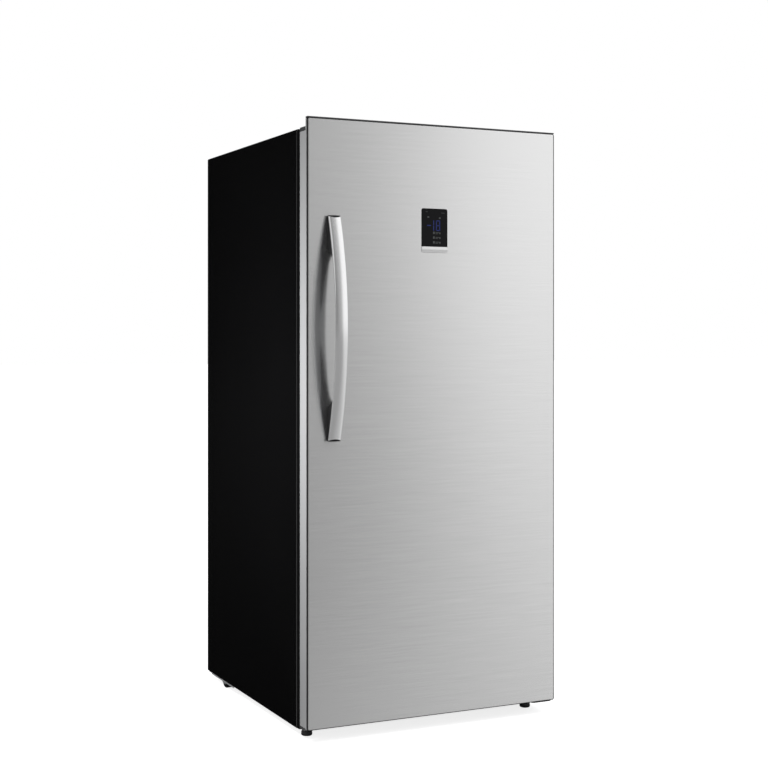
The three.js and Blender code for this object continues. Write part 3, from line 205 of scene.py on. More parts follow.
def make_floor():
    """A white floor that fades into the background and keeps the object's shadow. To gloss it glows
    with painted light, painted shade and a painted glint.
    """
    mesh = bpy.data.meshes.new("floor")
    reach = FLOOR_REACH
    corners = [(-reach, -reach, 0), (reach, -reach, 0), (reach, reach, 0), (-reach, reach, 0)]
    mesh.from_pydata(corners, [], [(0, 1, 2, 3)])
    floor = bpy.data.objects.new("floor", mesh)
    bpy.context.scene.collection.objects.link(floor)
    made = bpy.data.materials.new("floor_white")
    made.use_nodes = True
    tree = made.node_tree
    tree.nodes.clear()
    link = tree.links.new
    diffuse = node(tree, "ShaderNodeBsdfDiffuse", {"Color": FLOOR_COLOUR})
    glow = node(tree, "ShaderNodeEmission", {"Color": WHITE, "Strength": FLOOR_GLOW})
    both = node(tree, "ShaderNodeAddShader")
    link(diffuse.outputs[0], both.inputs[0])
    link(glow.outputs[0], both.inputs[1])
    grey = node(tree, "ShaderNodeBsdfDiffuse", {"Color": FLOOR_BOUNCE})
    where = node(tree, "ShaderNodeTexCoord")
    beside = node(tree, "ShaderNodeVectorMath", {1: FLOOR_BESIDE}, operation="DOT_PRODUCT")
    link(where.outputs["Object"], beside.inputs[0])
    # painted light: what gloss sees of the floor gets lighter towards one side
    across = node(tree, "ShaderNodeMapRange", FLOOR_PAINTED_LIGHT)
    link(beside.outputs["Value"], across.inputs[0])
    split = node(tree, "ShaderNodeSeparateXYZ")
    link(where.outputs["Object"], split.inputs[0])
    # painted shade: what gloss sees of the floor behind the door's front is nearly black
    front = node(tree, "ShaderNodeMapRange", FLOOR_PAINTED_SHADE)
    link(split.outputs["Y"], front.inputs[0])
    shade = node(tree, "ShaderNodeMath", operation="MULTIPLY")
    link(across.outputs[0], shade.inputs[0])
    link(front.outputs[0], shade.inputs[1])
    corner = node(tree, "ShaderNodeVectorMath", {1: FLOOR_CORNER}, operation="SUBTRACT")
    link(where.outputs["Object"], corner.inputs[0])
    heading = node(tree, "ShaderNodeVectorMath", operation="NORMALIZE")
    link(corner.outputs[0], heading.inputs[0])
    aim = node(tree, "ShaderNodeVectorMath", {1: CORNER_LIGHT}, operation="DOT_PRODUCT")
    link(heading.outputs[0], aim.inputs[0])
    # painted glint, fanning out from the foot of the cabinet's front left edge
    glint = node(tree, "ShaderNodeMapRange", FLOOR_PAINTED_GLINT)
    link(aim.outputs["Value"], glint.inputs[0])
    lit = node(tree, "ShaderNodeMath", operation="ADD")
    link(shade.outputs[0], lit.inputs[0])
    link(glint.outputs[0], lit.inputs[1])
    mirrored = node(tree, "ShaderNodeEmission", {"Color": WHITE})
    link(lit.outputs[0], mirrored.inputs["Strength"])
    path = node(tree, "ShaderNodeLightPath")
    unseen = node(tree, "ShaderNodeMixShader")
    link(path.outputs["Is Glossy Ray"], unseen.inputs[0])
    link(grey.outputs[0], unseen.inputs[1])
    link(mirrored.outputs[0], unseen.inputs[2])
    mix = node(tree, "ShaderNodeMixShader")
    link(path.outputs["Is Camera Ray"], mix.inputs[0])
    link(unseen.outputs[0], mix.inputs[1])
    link(both.outputs[0], mix.inputs[2])
    out = node(tree, "ShaderNodeOutputMaterial")
    link(mix.outputs[0], out.inputs["Surface"])
    mesh.materials.append(made)


make_camera()
make_world()
make_floor()
make_lamp("left_near", at=(-1.00, -0.12, 0.89), aim=(-0.355, -0.30, 0.89), size=(0.25, 0.25), watts=7)
make_lamp("overhead", at=(0.4, -1.6, 3.4), aim=(0, -0.1, 0.8), size=(2.2, 2.2), watts=30)

# ------------------------------------------------------------------ materials

MADE = {}


RELIEF_DEPTH = 0.001            # m, of a bump of strength 1
NOISE_SPAN = (0.3, 0.7)         # where most of the noise's values lie


def material(name, color, roughness=0.5, metallic=0.0, grain=(60, 60, 60), tone=0.04, vary=0.06,
             bump=0.02, transmission=0.0, anisotropic=0.0, ior=1.5, specular=0.5, broad_share=0.3):
    """A principled surface whose colour, roughness and relief vary with stretched noise. tone and
    vary are how far colour and roughness swing, grain is the noise's waves per metre along X, Y, Z."""
    if name in MADE:
        return MADE[name]
    made = bpy.data.materials.new(name)
    made.use_nodes = True
    tree = made.node_tree
    tree.nodes.clear()
    link = tree.links.new
    shader = node(tree, "ShaderNodeBsdfPrincipled", {
        "Metallic": metallic, "IOR": ior, "Transmission Weight": transmission,
        "Anisotropic": anisotropic, "Anisotropic Rotation": 0.25, "Specular IOR Level": specular,
    })
    where = node(tree, "ShaderNodeTexCoord")
    stretch = node(tree, "ShaderNodeMapping", {"Scale": grain})
    link(where.outputs["Object"], stretch.inputs["Vector"])
    fine = node(tree, "ShaderNodeTexNoise", {"Scale": 1.0, "Detail": 4.0, "Roughness": 0.6})
    link(stretch.outputs[0], fine.inputs["Vector"])
    broad = node(tree, "ShaderNodeTexNoise", {"Scale": 3.0, "Detail": 2.0})
    link(where.outputs["Object"], broad.inputs["Vector"])
    both = node(tree, "ShaderNodeMix", {0: broad_share}, data_type="FLOAT")
    link(fine.outputs["Fac"], both.inputs[2])
    link(broad.outputs["Fac"], both.inputs[3])
    ramp = node(tree, "ShaderNodeValToRGB")
    low, high = ramp.color_ramp.elements
    low.position, high.position = NOISE_SPAN
    low.color = (*[max(c * (1 - tone), 0) for c in color], 1)
    high.color = (*[min(c * (1 + tone), 1) for c in color], 1)
    link(both.outputs[0], ramp.inputs[0])
    link(ramp.outputs["Color"], shader.inputs["Base Color"])
    limits = {1: NOISE_SPAN[0], 2: NOISE_SPAN[1],
              3: max(roughness - vary, 0.02), 4: min(roughness + vary, 1)}
    rough = node(tree, "ShaderNodeMapRange", limits)
    link(both.outputs[0], rough.inputs[0])
    link(rough.outputs[0], shader.inputs["Roughness"])
    relief = node(tree, "ShaderNodeBump", {"Strength": bump, "Distance": RELIEF_DEPTH})
    link(fine.outputs["Fac"], relief.inputs["Height"])
    link(relief.outputs[0], shader.inputs["Normal"])
    out = node(tree, "ShaderNodeOutputMaterial")
    link(shader.outputs[0], out.inputs["Surface"])
    MADE[name] = made
    return made


def glowing(name, color, strength):
    """A dim lit mark behind the touch glass, a little uneven like a real segment."""
    made = bpy.data.materials.new(name)
    made.use_nodes = True
    tree = made.node_tree
    tree.nodes.clear()
    link = tree.links.new
    where = node(tree, "ShaderNodeTexCoord")
    grain = node(tree, "ShaderNodeTexNoise", {"Scale": 900.0})
    link(where.outputs["Object"], grain.inputs["Vector"])
    ramp = node(tree, "ShaderNodeValToRGB")
    low, high = ramp.color_ramp.elements
    low.color = (*[c * 0.7 for c in color], 1)
    high.color = (*color, 1)
    link(grain.outputs["Fac"], ramp.inputs[0])
    shader = node(tree, "ShaderNodeBsdfPrincipled", {
        "Roughness": 0.2, "Specular IOR Level": 0.3, "Emission Strength": strength,
    })
    link(ramp.outputs["Color"], shader.inputs["Base Color"])
    link(ramp.outputs["Color"], shader.inputs["Emission Color"])
    out = node(tree, "ShaderNodeOutputMaterial")
    link(shader.outputs[0], out.inputs["Surface"])
    return made


LOOKS = {
    "black_paint": dict(color=(0.0023, 0.0023, 0.0025), roughness=0.2, grain=(260, 260, 260), tone=0.12,
                        vary=0.03, bump=0.03, specular=0.35),
    "stainless": dict(color=(0.91, 0.91, 0.91), roughness=0.23, metallic=0.96, grain=(7, 40, 620),
                      tone=0.035, vary=0.02, bump=0.02, anisotropic=0.9, broad_share=0.1),
    "satin_silver": dict(color=(0.96, 0.96, 0.965), roughness=0.22, metallic=0.90,
                         grain=(900, 900, 8), tone=0.02, vary=0.03, bump=0.02),
    "silver_trim": dict(color=(0.37, 0.373, 0.378), roughness=0.42, grain=(700, 700, 700), tone=0.04,
                        bump=0.05),
    "dark_plastic": dict(color=(0.052, 0.053, 0.055), roughness=0.36, grain=(900, 900, 900), tone=0.1,
                         bump=0.08),
    "grey_plastic": dict(color=(0.15, 0.152, 0.155), roughness=0.42, grain=(900, 900, 900), tone=0.06,
                         bump=0.06),
    "black_plastic": dict(color=(0.010, 0.010, 0.011), roughness=0.5, grain=(900, 900, 900), tone=0.1,
                          bump=0.1, specular=0.25),
    "white_plastic": dict(color=(0.80, 0.82, 0.83), roughness=0.3, grain=(120, 120, 120), tone=0.01,
                          bump=0.03),
    "clear_plastic": dict(color=(0.86, 0.91, 0.94), roughness=0.08, grain=(40, 40, 40), tone=0.02,
                          vary=0.03, transmission=0.85, ior=1.45),
    "shelf_glass": dict(color=(0.83, 0.93, 0.90), roughness=0.03, grain=(20, 20, 20), tone=0.01,
                        vary=0.01, bump=0.005, transmission=0.95, ior=1.45),
    "black_glass": dict(color=(0.006, 0.006, 0.007), roughness=0.09, grain=(30, 30, 30), tone=0.1,
                        vary=0.02, bump=0.004, specular=0.12),
    "galvanised": dict(color=(0.60, 0.61, 0.62), roughness=0.4, metallic=0.4, grain=(55, 55, 55),
                       tone=0.08, vary=0.12, bump=0.04),
    "steel": dict(color=(0.52, 0.52, 0.53), roughness=0.34, metallic=1.0, grain=(90, 90, 90),
                  tone=0.08, vary=0.08, bump=0.03),
    "white_wire": dict(color=(0.82, 0.83, 0.84), roughness=0.35, grain=(300, 300, 300), tone=0.03,
                       bump=0.06),
    "rubber": dict(color=(0.02, 0.02, 0.021), roughness=0.75, grain=(500, 500, 500), tone=0.12,
                   bump=0.15, specular=0.3),
    "foam": dict(color=(0.80, 0.72, 0.45), roughness=0.9, grain=(400, 400, 400), tone=0.1, bump=0.4),
    "fin_aluminium": dict(color=(0.70, 0.71, 0.72), roughness=0.35, metallic=1.0, grain=(30, 30, 400),
                          tone=0.06, bump=0.03),
    "copper": dict(color=(0.72, 0.36, 0.22), roughness=0.3, metallic=1.0, grain=(120, 120, 120),
                   tone=0.12, vary=0.1, bump=0.02),
}


def look(slot):
    return material(slot + "_look", **LOOKS[slot])


# ------------------------------------------------------------------ mesh tools


def at(face, x, y, z):
    """A point given in millimetres from the middle of a face (DOOR or CABINET) in the row frame."""
    return Vector((x * MM, face + y * MM, z * MM))


def smooth(mesh, angle=35):
    for face in mesh.polygons:
        face.use_smooth = True
    mesh.set_sharp_from_angle(angle=math.radians(angle))


def link_object(name, data):
    obj = bpy.data.objects.new(name, data)
    bpy.context.scene.collection.objects.link(obj)
    return obj


def finish_piece(obj, body, slot, stands_for=(), edge=0.0, angle=35, finish=None):
    """Softens an object's edges by edge mm where faces meet at more than angle degrees, gives it the
    look of its slot or the finish given, puts it on its body, and hides the CAD nodes it stands for."""
    if obj.type == "MESH":
        smooth(obj.data, angle)
        if edge:
            bevel = obj.modifiers.new("soft_edges", "BEVEL")
            bevel.width = edge * MM
            bevel.segments = 2
            bevel.limit_method = "ANGLE"
            bevel.angle_limit = math.radians(max(angle, 30))
            bevel.harden_normals = True
            flat = obj.modifiers.new("flat_faces", "WEIGHTED_NORMAL")
            flat.keep_sharp = True
    obj.data.materials.clear()
    obj.data.materials.append(finish or look(slot))
    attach(obj, body)
    if stands_for:
        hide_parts(*stands_for)
    return obj


def solid_piece(name, verts, faces, body, slot, stands_for=(), **options):
    """A closed mesh from points and faces, its doubles merged and its faces turned outwards."""
    mesh = bpy.data.meshes.new(name)
    mesh.from_pydata([tuple(v) for v in verts], [], faces)
    bm = bmesh.new()
    bm.from_mesh(mesh)
    bmesh.ops.remove_doubles(bm, verts=bm.verts, dist=1e-7)
    bmesh.ops.dissolve_degenerate(bm, edges=bm.edges, dist=1e-8)
    bmesh.ops.recalc_face_normals(bm, faces=bm.faces)
    bm.to_mesh(mesh)
    bm.free()
    return finish_piece(link_object(name, mesh), body, slot, stands_for, **options)


def skin(rings, ends=True, loop=False):
    """Faces over closed rings of equal count. ends caps them, loop joins the last to the first."""
    count = len(rings[0])
    verts = [p for ring in rings for p in ring]
    faces = []
    span = len(rings) if loop else len(rings) - 1
    for i in range(span):
        j = (i + 1) % len(rings)
        for k in range(count):
            n = (k + 1) % count
            faces.append((i * count + k, i * count + n, j * count + n, j * count + k))
    if ends and not loop:
        faces.append(tuple(range(count))[::-1])
        faces.append(tuple((len(rings) - 1) * count + k for k in range(count)))
    return verts, faces


def turned(profile, centre, axis="Z", steps=48, loop=False):
    """A profile of [radius, height] in millimetres turned about an axis through a point."""
    rings = []
    for radius, height in profile:
        ring = []
        for i in range(steps):
            a = 2 * math.pi * i / steps
            u, v = radius * math.cos(a) * MM, radius * math.sin(a) * MM
            h = height * MM
            point = {"Z": (u, v, h), "X": (h, u, v), "Y": (v, h, u)}[axis]
            ring.append(centre + Vector(point))
        rings.append(ring)
    return skin(rings, ends=False, loop=loop)


def merged(parts):
    """Several (verts, faces) in one."""
    verts, faces = [], []
    for some_verts, some_faces in parts:
        start = len(verts)
        verts += list(some_verts)
        faces += [tuple(start + i for i in face) for face in some_faces]
    return verts, faces


def brick(low, high):
    """A box between two corners, in row-frame metres."""
    (x0, y0, z0), (x1, y1, z1) = low, high
    rings = [[Vector((x, y, z)) for x, y in ((x0, y0), (x1, y0), (x1, y1), (x0, y1))] for z in (z0, z1)]
    return skin(rings)


def filleted(points, radius, steps=6):
    """A path whose inner corners are rounded, as when wire is bent."""
    line = [Vector(p) for p in points]
    path = [line[0]]
    for before, corner, after in zip(line, line[1:], line[2:]):
        inward, onward = (before - corner).normalized(), (after - corner).normalized()
        half_angle = math.acos(max(-1, min(1, inward.dot(onward)))) / 2
        if half_angle > math.radians(89.5):
            path.append(corner)
            continue
        middle = corner + (inward + onward).normalized() * (radius / math.sin(half_angle))
        start = corner + inward * (radius / math.tan(half_angle)) - middle
        end = corner + onward * (radius / math.tan(half_angle)) - middle
        sweep = start.angle(end)
        normal = start.cross(end).normalized()
        for i in range(steps + 1):
            path.append(middle + Matrix.Rotation(sweep * i / steps, 3, normal) @ start)
    path.append(line[-1])
    return path


def wire_piece(name, paths, radius, body, slot, stands_for=(), sides=4):
    """Round wires along paths of row-frame points. A path marked True is a closed loop."""
    curve = bpy.data.curves.new(name, "CURVE")
    curve.dimensions = "3D"
    curve.bevel_depth = radius * MM
    curve.bevel_resolution = sides
    curve.use_fill_caps = True
    for path, closed in paths:
        spline = curve.splines.new("POLY")
        spline.points.add(len(path) - 1)
        for point, place in zip(spline.points, path):
            point.co = (*place, 1)
        spline.use_cyclic_u = closed
        spline.use_smooth = True
    return finish_piece(link_object(name, curve), body, slot, stands_for)


def soften(name, edge):
    """A finer copy of a CAD node: flat faces made whole again, and edges broken."""
    source = NODES[name]
    bm = bmesh.new()
    bm.from_mesh(source.data)
    bmesh.ops.remove_doubles(bm, verts=bm.verts, dist=1e-6)
    bmesh.ops.dissolve_limit(bm, angle_limit=math.radians(0.8), verts=bm.verts, edges=bm.edges)
    mesh = bpy.data.meshes.new(name + "_fine")
    bm.to_mesh(mesh)
    bm.free()
    piece = link_object(name + "_fine", mesh)
    return finish_piece(piece, BODIES[name], SLOTS[name], [name], edge=edge)


# ------------------------------------------------------------------ handle

# x of its middle, half its width, ends, thickness, and how far its back stands off the door at the
# middle of the bow and at the ends. It leans towards the door's free edge as it stands out.
HANDLE = dict(x=-288.7, half=16.0, bottom=742.0, top=1296.0, thick=12.0, bow=61.5, foot=4.0, lean=6.0)
H_MIDDLE = (HANDLE["bottom"] + HANDLE["top"]) / 2
H_HALF = (HANDLE["top"] - HANDLE["bottom"]) / 2
H_SAG = HANDLE["bow"] - HANDLE["foot"]
H_RADIUS = (H_HALF ** 2 + H_SAG ** 2) / (2 * H_SAG)
H_STEPS = 96                    # steps along the whole bow
COVER_BACK, COVER_SHOULDER = 4.0, 7.4    # where the cover's section starts, and its crown
FOOT_LONG = 86.3                # how far the wedge foot reaches from the handle's end
# The thin tongue beyond the foot: distance from the handle's end, thickness, half width.
TONGUE = (
    (91, 21.5, 12.6), (97, 16.5, 10.2), (108, 12, 8), (130, 8.5, 6), (156, 6, 4.6),
    (180, 4.2, 3.6), (205, 3, 2.8), (230, 0.5, 2),
)


def handle_reach(z, out=0.0):
    """How far a layer of the handle stands off the door at a height."""
    return HANDLE["bow"] - H_RADIUS + math.sqrt((H_RADIUS + out) ** 2 - (z - H_MIDDLE) ** 2)


def handle_point(across, reach, z):
    lean = HANDLE["lean"] * (reach - HANDLE["foot"]) / H_SAG
    return at(DOOR, HANDLE["x"] + across - lean, -reach, z)


def plug_depth(across):
    """How far the plug in the handle's end reaches in at a place across it."""
    bowl, deepest = 44, 5
    return deepest + math.sqrt(bowl ** 2 - across ** 2) - bowl


def bowed_layer(section, low, high, steps):
    """A section of [across, out] points along the bow. low and high give its two end heights."""
    rings = []
    for i in range(steps + 1):
        ring = []
        for across, out in section:
            z = low(across) + (high(across) - low(across)) * i / steps
            ring.append(handle_point(across, handle_reach(z, out), z))
        rings.append(ring)
    return skin(rings)


def crowned(half, back, shoulder, crown, steps=28):
    """Flat back, short sides and a crowned front."""
    front = []
    for i in range(steps + 1):
        s = math.sin(math.pi * (i / steps - 0.5))
        front.append((s * half, shoulder + (crown - shoulder) * math.sqrt(1 - 0.96 * s * s)))
    rear = [(half * (1 - 2 * i / 8), back) for i in range(9)]
    return front + rear


def make_handle():
    half = HANDLE["half"]
    top, bottom = HANDLE["top"], HANDLE["bottom"]
    gap = 0.25                  # between the cover and its plugs
    lower = 0.15                # how far the plugs lie below the cover's face
    section = crowned(half, COVER_BACK, COVER_SHOULDER, HANDLE["thick"])
    cover = bowed_layer(
        section, lambda x: bottom + plug_depth(x) + gap, lambda x: top - plug_depth(x) - gap, H_STEPS)
    solid_piece("handle_cover_fine", *cover, "door", "satin_silver", ["handle_cover"],
                edge=0.3, angle=40)
    inset = crowned(half - lower, COVER_BACK, 7.3, HANDLE["thick"] - lower)
    plugs = [
        bowed_layer(inset, lambda x: top - plug_depth(x), lambda x: top, 3),
        bowed_layer(inset, lambda x: bottom, lambda x: bottom + plug_depth(x), 3),
    ]
    solid_piece("handle_plugs", *merged(plugs), "door", "black_plastic", ["handle_core"], edge=0.2)
    strip_half, chamfer, strip_thick = half - 1.3, 0.6, 3.75
    strip_section = [
        (-strip_half, chamfer), (-strip_half + chamfer, 0), (strip_half - chamfer, 0),
        (strip_half, chamfer), (strip_half, strip_thick), (-strip_half, strip_thick),
    ]
    strip = bowed_layer(strip_section, lambda x: bottom, lambda x: top, H_STEPS)
    solid_piece("handle_back", *strip, "door", "dark_plastic", ["handle_core"],
                finish=look("grey_plastic"))
    wide = half - 1.5
    feet = []
    for side, end in ((1, top), (-1, bottom)):
        stations = [(back, 0.3, wide) for back in range(0, 87, 6)] + [(FOOT_LONG, 7, wide)]
        for back, thick, across in ((88, 24.5, wide), *TONGUE):
            stations.append((back, handle_reach(end - side * back) - thick, across))
        rings = []
        for back, low, across in stations:
            z = end - side * back
            high = handle_reach(z) + 0.2
            rings.append([handle_point(x, reach, z) for x, reach in (
                (-across, low), (across, low), (across, high), (-across, high))])
        feet.append(skin(rings))
    solid_piece("handle_feet", *merged(feet), "door", "black_plastic", ["handle_core"], edge=0.8)


# ------------------------------------------------------------------ touch panel

PANEL = dict(left=-41.5, right=33.2, bottom=1212.3, split=1227.8, top=1323.8)
BAR_FRONT, BAR_BACK = 0.62, 0.45    # how far the read-out's bars stand out of the door's face
# Bars lit for each sign: a at the top and then clockwise, g in the middle.
SEGMENTS = {"-": "g", "1": "bc", "8": "abcdefg"}
READ_OUT = (("-", -26.0), ("1", -17.5), ("8", 0.0))    # each sign and its left side
SIGN_LOW, SIGN_WIDE, SIGN_HIGH, BAR_THICK = 1267.5, 12.0, 27.0, 2.4
ROWS = (1258.0, 1246.0, 1234.0)    # undersides of the rows of marks under the number
ROW_BARS = (                    # left, right, and low and high over the row's underside
    (-8.4, -3.6, 1.5, 7.5), (-1.4, 9.0, 4.5, 6.0), (-1.4, 5.5, 1.5, 3.0), (9.6, 13.0, 1.5, 6.0),
)
TOP_BARS = (                    # left, right, low, high
    (-25.0, -19.5, 1300.6, 1304.0), (8.5, 13.5, 1298.6, 1302.4),
    (15.0, 25.0, 1313.2, 1314.2), (-29.5, -24.0, 1315.0, 1316.2),
)


def panel_bar(x0, x1, z0, z1):
    return brick(at(DOOR, x0, -BAR_FRONT, z0), at(DOOR, x1, -BAR_BACK, z1))


def digit_bars(sign, left):
    """Bars of one seven-segment sign."""
    gap, low, thick = 0.5, SIGN_LOW, BAR_THICK
    right, top, middle = left + SIGN_WIDE, low + SIGN_HIGH, low + SIGN_HIGH / 2
    places = {
        "a": (left + gap, right - gap, top - thick, top),
        "b": (right - thick, right, middle + gap, top - gap),
        "c": (right - thick, right, low + gap, middle - gap),
        "d": (left + gap, right - gap, low, low + thick),
        "e": (left, left + thick, low + gap, middle - gap),
        "f": (left, left + thick, middle + gap, top - gap),
        "g": (left + gap, right - gap, middle - thick / 2, middle + thick / 2),
    }
    return [panel_bar(*places[bar]) for bar in SEGMENTS[sign]]


def make_display():
    bars = []
    for sign, left in READ_OUT:
        bars += digit_bars(sign, left)
    solid_piece("display_number", *merged(bars), "door", "black_glass",
                finish=glowing("display_blue", (0.022, 0.036, 0.20), 0.075))
    marks = []
    for row in ROWS:
        marks += [panel_bar(x0, x1, row + z0, row + z1) for x0, x1, z0, z1 in ROW_BARS]
    marks += [panel_bar(*bar) for bar in TOP_BARS]
    solid_piece("display_marks", *merged(marks), "door", "black_glass",
                finish=glowing("display_grey", (0.075, 0.08, 0.08), 0.2))


# ------------------------------------------------------------------ door


def rounded_outline(x0, x1, z0, z1, radius, steps=8):
    """Points [x, z] of a rectangle with round corners, from its lower right corner on."""
    corners = ((x1 - radius, z0 + radius, -90), (x1 - radius, z1 - radius, 0),
               (x0 + radius, z1 - radius, 90), (x0 + radius, z0 + radius, 180))
    outline = []
    for cx, cz, start in corners:
        for i in range(steps + 1):
            turn = math.radians(start + 90 * i / steps)
            outline.append((cx + radius * math.cos(turn), cz + radius * math.sin(turn)))
    return outline


def make_door_skin():
    """Stainless skin with rolled edges, inside a thin black frame of painted shade that shows all round
    it: a dark sheet in the shadowed gap round the skin and over its rolled sides.
    """
    low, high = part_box("door_panel")
    bottom, top = low[2] / MM, high[2] / MM
    side = HALF - 1.1           # the black frame of painted shade shows beside the skin, below it and above it
    skin_low, skin_high = bottom + 0.65, top - 0.55
    corner = 4.3                # radius of the skin's corners
    roll, deep = 2.6, 1.75      # how far the rolled edge reaches in, and how far back
    thick = 1.1

    def outline(inset, radius):
        return rounded_outline(
            -side + inset, side - inset, skin_low + inset, skin_high - inset, radius)

    within = outline(3.0, 2.5)
    layers = [(within, deep), (outline(0, corner), deep)]
    for i in range(1, 9):
        turn = math.radians(90 * i / 8)
        inset = roll * (1 - math.cos(turn))
        layers.append((outline(inset, corner - inset), deep * (1 - math.sin(turn))))
    layers.append((outline(roll + 0.5, 1.2), 0))
    gap = 0.35                  # round the touch panel
    hole = rounded_outline(PANEL["left"] - gap, PANEL["right"] + gap, PANEL["bottom"] - gap,
                           PANEL["top"] + gap, 5.3)
    layers += [(hole, 0), (hole, thick), (within, thick)]
    rings = [[at(DOOR, x, y, z) for x, z in points] for points, y in layers]
    solid_piece("door_skin", *skin(rings, loop=True), "door", "stainless", ["door_panel"], angle=50)
    # The black frame is painted shade: a dark sheet that darkens the gap round the skin and the skin's
    # rolled sides, where the door has only shadow between the skin and its trims.
    outer = rounded_outline(-HALF + 0.05, HALF - 0.05, bottom + 0.05, top - 0.02, 5.0)
    inward = 5.8
    inner = rounded_outline(-HALF + inward, HALF - inward, bottom + inward, top - inward, 2)
    lip = outline(-0.1, corner + 0.1)
    front, behind_skin, back = 0.15, 1.95, 7.35
    layers = [(outer, front), (outer, back), (inner, back), (inner, behind_skin),
              (lip, behind_skin), (lip, front)]
    rings = [[at(DOOR, x, y, z) for x, z in points] for points, y in layers]
    solid_piece("door_painted_shade_frame", *skin(rings, loop=True), "door", "black_plastic")


def make_gasket():
    """Magnetic gasket: a base, a pleat and a flat magnet pocket, mitred at its corners."""
    half_wide, bottom, top = 336, 60, 1495
    profile = [                 # inwards from the gasket's outline, and behind the door's face
        (0, 50.7), (0, 51.8), (1.2, 52.4), (3.2, 52.7), (3.4, 53.3), (3.0, 54.0), (4.2, 54.6),
        (19.5, 54.6), (20.8, 54.0), (20.4, 53.3), (20.8, 52.8), (23.0, 52.5), (26.8, 52.3),
        (28, 51.8), (28, 50.7),
    ]
    rings = []
    for inward, y in profile:
        x, z0, z1 = half_wide - inward, bottom + inward, top - inward
        rings.append([at(DOOR, *p) for p in ((-x, y, z0), (x, y, z0), (x, y, z1), (-x, y, z1))])
    verts, faces = skin(rings, loop=True)
    solid_piece("door_gasket_fine", verts, faces, "door", "rubber", ["door_gasket"], angle=50)


# ------------------------------------------------------------------ wire basket

# Half width, ends and levels, radii of its wires, how far it narrows to its floor, and the half
# distance between its runners.
BASKET = dict(wide=264.0, front=145.0, back=396.0, bottom=104.0, top=246.0, wire=1.6, rim=2.7,
              lean=5.0, runner=282.0)


def basket_point(x, y, z):
    return at(CABINET, x, y, z)


def make_basket():
    wide, front, back = BASKET["wide"], BASKET["front"], BASKET["back"]
    wire, rim, lean, runner = BASKET["wire"], BASKET["rim"], BASKET["lean"], BASKET["runner"]
    floor = wide - lean
    low = BASKET["bottom"] + wire
    high = BASKET["top"] - rim
    corners = [(-wide, front), (wide, front), (wide, back), (-wide, back)]
    loop = [(x, y, high) for x, y in corners]
    rim_path = ring_path(loop, 9)
    runners = []
    ties = []
    for side in (-1, 1):
        ends = (front + 12, back - 12)
        runners.append(([basket_point(side * runner, y, high) for y in ends], False))
        for y in (front + 16, (front + back) / 2, back - 16):
            ties.append(([basket_point(side * x, y, high) for x in (wide, runner)], False))
    wire_piece("basket_rim", [(rim_path, True)] + runners, rim, "basket", "white_wire", ["wire_basket"])
    wires = list(ties)
    across = 20
    for i in range(across):
        x = floor * (2 * i / (across - 1) - 1)
        bend = [(x, front, high), (x, front + lean, low), (x, back - lean, low), (x, back, high)]
        wires.append((filleted([basket_point(*p) for p in bend], 7 * MM), False))
    rows = 7
    over = low + 2 * wire       # these lie on the wires that run from front to back
    for i in range(rows):
        y = front + lean + (back - front - 2 * lean) * (i + 0.5) / rows
        bend = [(-wide, y, high), (-floor, y, over), (floor, y, over), (wide, y, high)]
        wires.append((filleted([basket_point(*p) for p in bend], 7 * MM), False))
    for share in (0.33, 0.66):
        z = low + (high - low) * share
        grow = lean * (1 - share) + 2 * wire
        hoop = [(sx * (wide - grow), y, z) for sx, y in (
            (-1, front + grow), (1, front + grow), (1, back - grow), (-1, back - grow))]
        wires.append((ring_path(hoop, 7), True))
    wire_piece("basket_wires", wires, wire, "basket", "white_wire", ["wire_basket"], sides=3)


def ring_path(corners, radius):
    """A closed path through cabinet points with its corners rounded."""
    points = [basket_point(*p) for p in corners]
    path = []
    for i, corner in enumerate(points):
        before, after = points[i - 1], points[(i + 1) % len(points)]
        bend = filleted([(before + corner) / 2, corner, (corner + after) / 2], radius * MM)
        path += bend[1:-1]
    return path


# ------------------------------------------------------------------ fan, compressor, cold side

FAN_Y, FAN_Z = 571.0, 1140.0


def make_fan():
    """Five lofted blades, swept and twisted, on a domed hub."""
    parts = [turned(
        [(2.3, 0.6), (6, 0.1), (10, 0.3), (13, 1.6), (14.8, 4.2), (15, 7), (15, 15), (2.3, 15)],
        at(CABINET, 0, FAN_Y, FAN_Z), "Y", 60, loop=True)]
    stations, chord_steps = 12, 10
    root, tip = 14, 50
    blades = 5
    for blade in range(blades):
        turn = Matrix.Rotation(math.radians(360 / blades * blade), 3, "Y")
        rings = []
        for i in range(stations + 1):
            t = i / stations
            radius = root + (tip - root) * t
            past = max(0, t - 0.8) / 0.2    # how far into the rounded tip
            chord = (20 + 14 * t) * (1 - 0.35 * past * past)
            pitch = math.radians(38 - 16 * t)
            sweep = math.radians(22 * t * t)
            ring = []
            for face in (1, -1):
                for j in range(chord_steps + 1):
                    s = (j if face == 1 else chord_steps - j) / chord_steps - 0.5
                    thick = 0.75 * math.sqrt(max(0.0, 1 - (2 * s) ** 2)) + 0.12
                    rise = s * chord * math.sin(pitch) + 2.2 * (1 - 4 * s * s) + face * thick
                    angle = sweep + s * chord * math.cos(pitch) / radius
                    depth = 7.5 + rise * 0.62
                    point = Vector((radius * math.cos(angle), depth, radius * math.sin(angle)))
                    ring.append(at(CABINET, 0, FAN_Y, FAN_Z) + turn @ point * MM)
            rings.append(ring)
        parts.append(skin(rings))
    solid_piece("evaporator_fan_fine", *merged(parts), "fan", "black_plastic", ["evaporator_fan"])


COMPRESSOR = (-120.0, 568.0, 32.1)        # middle of its foot plate: x, y, height of its underside


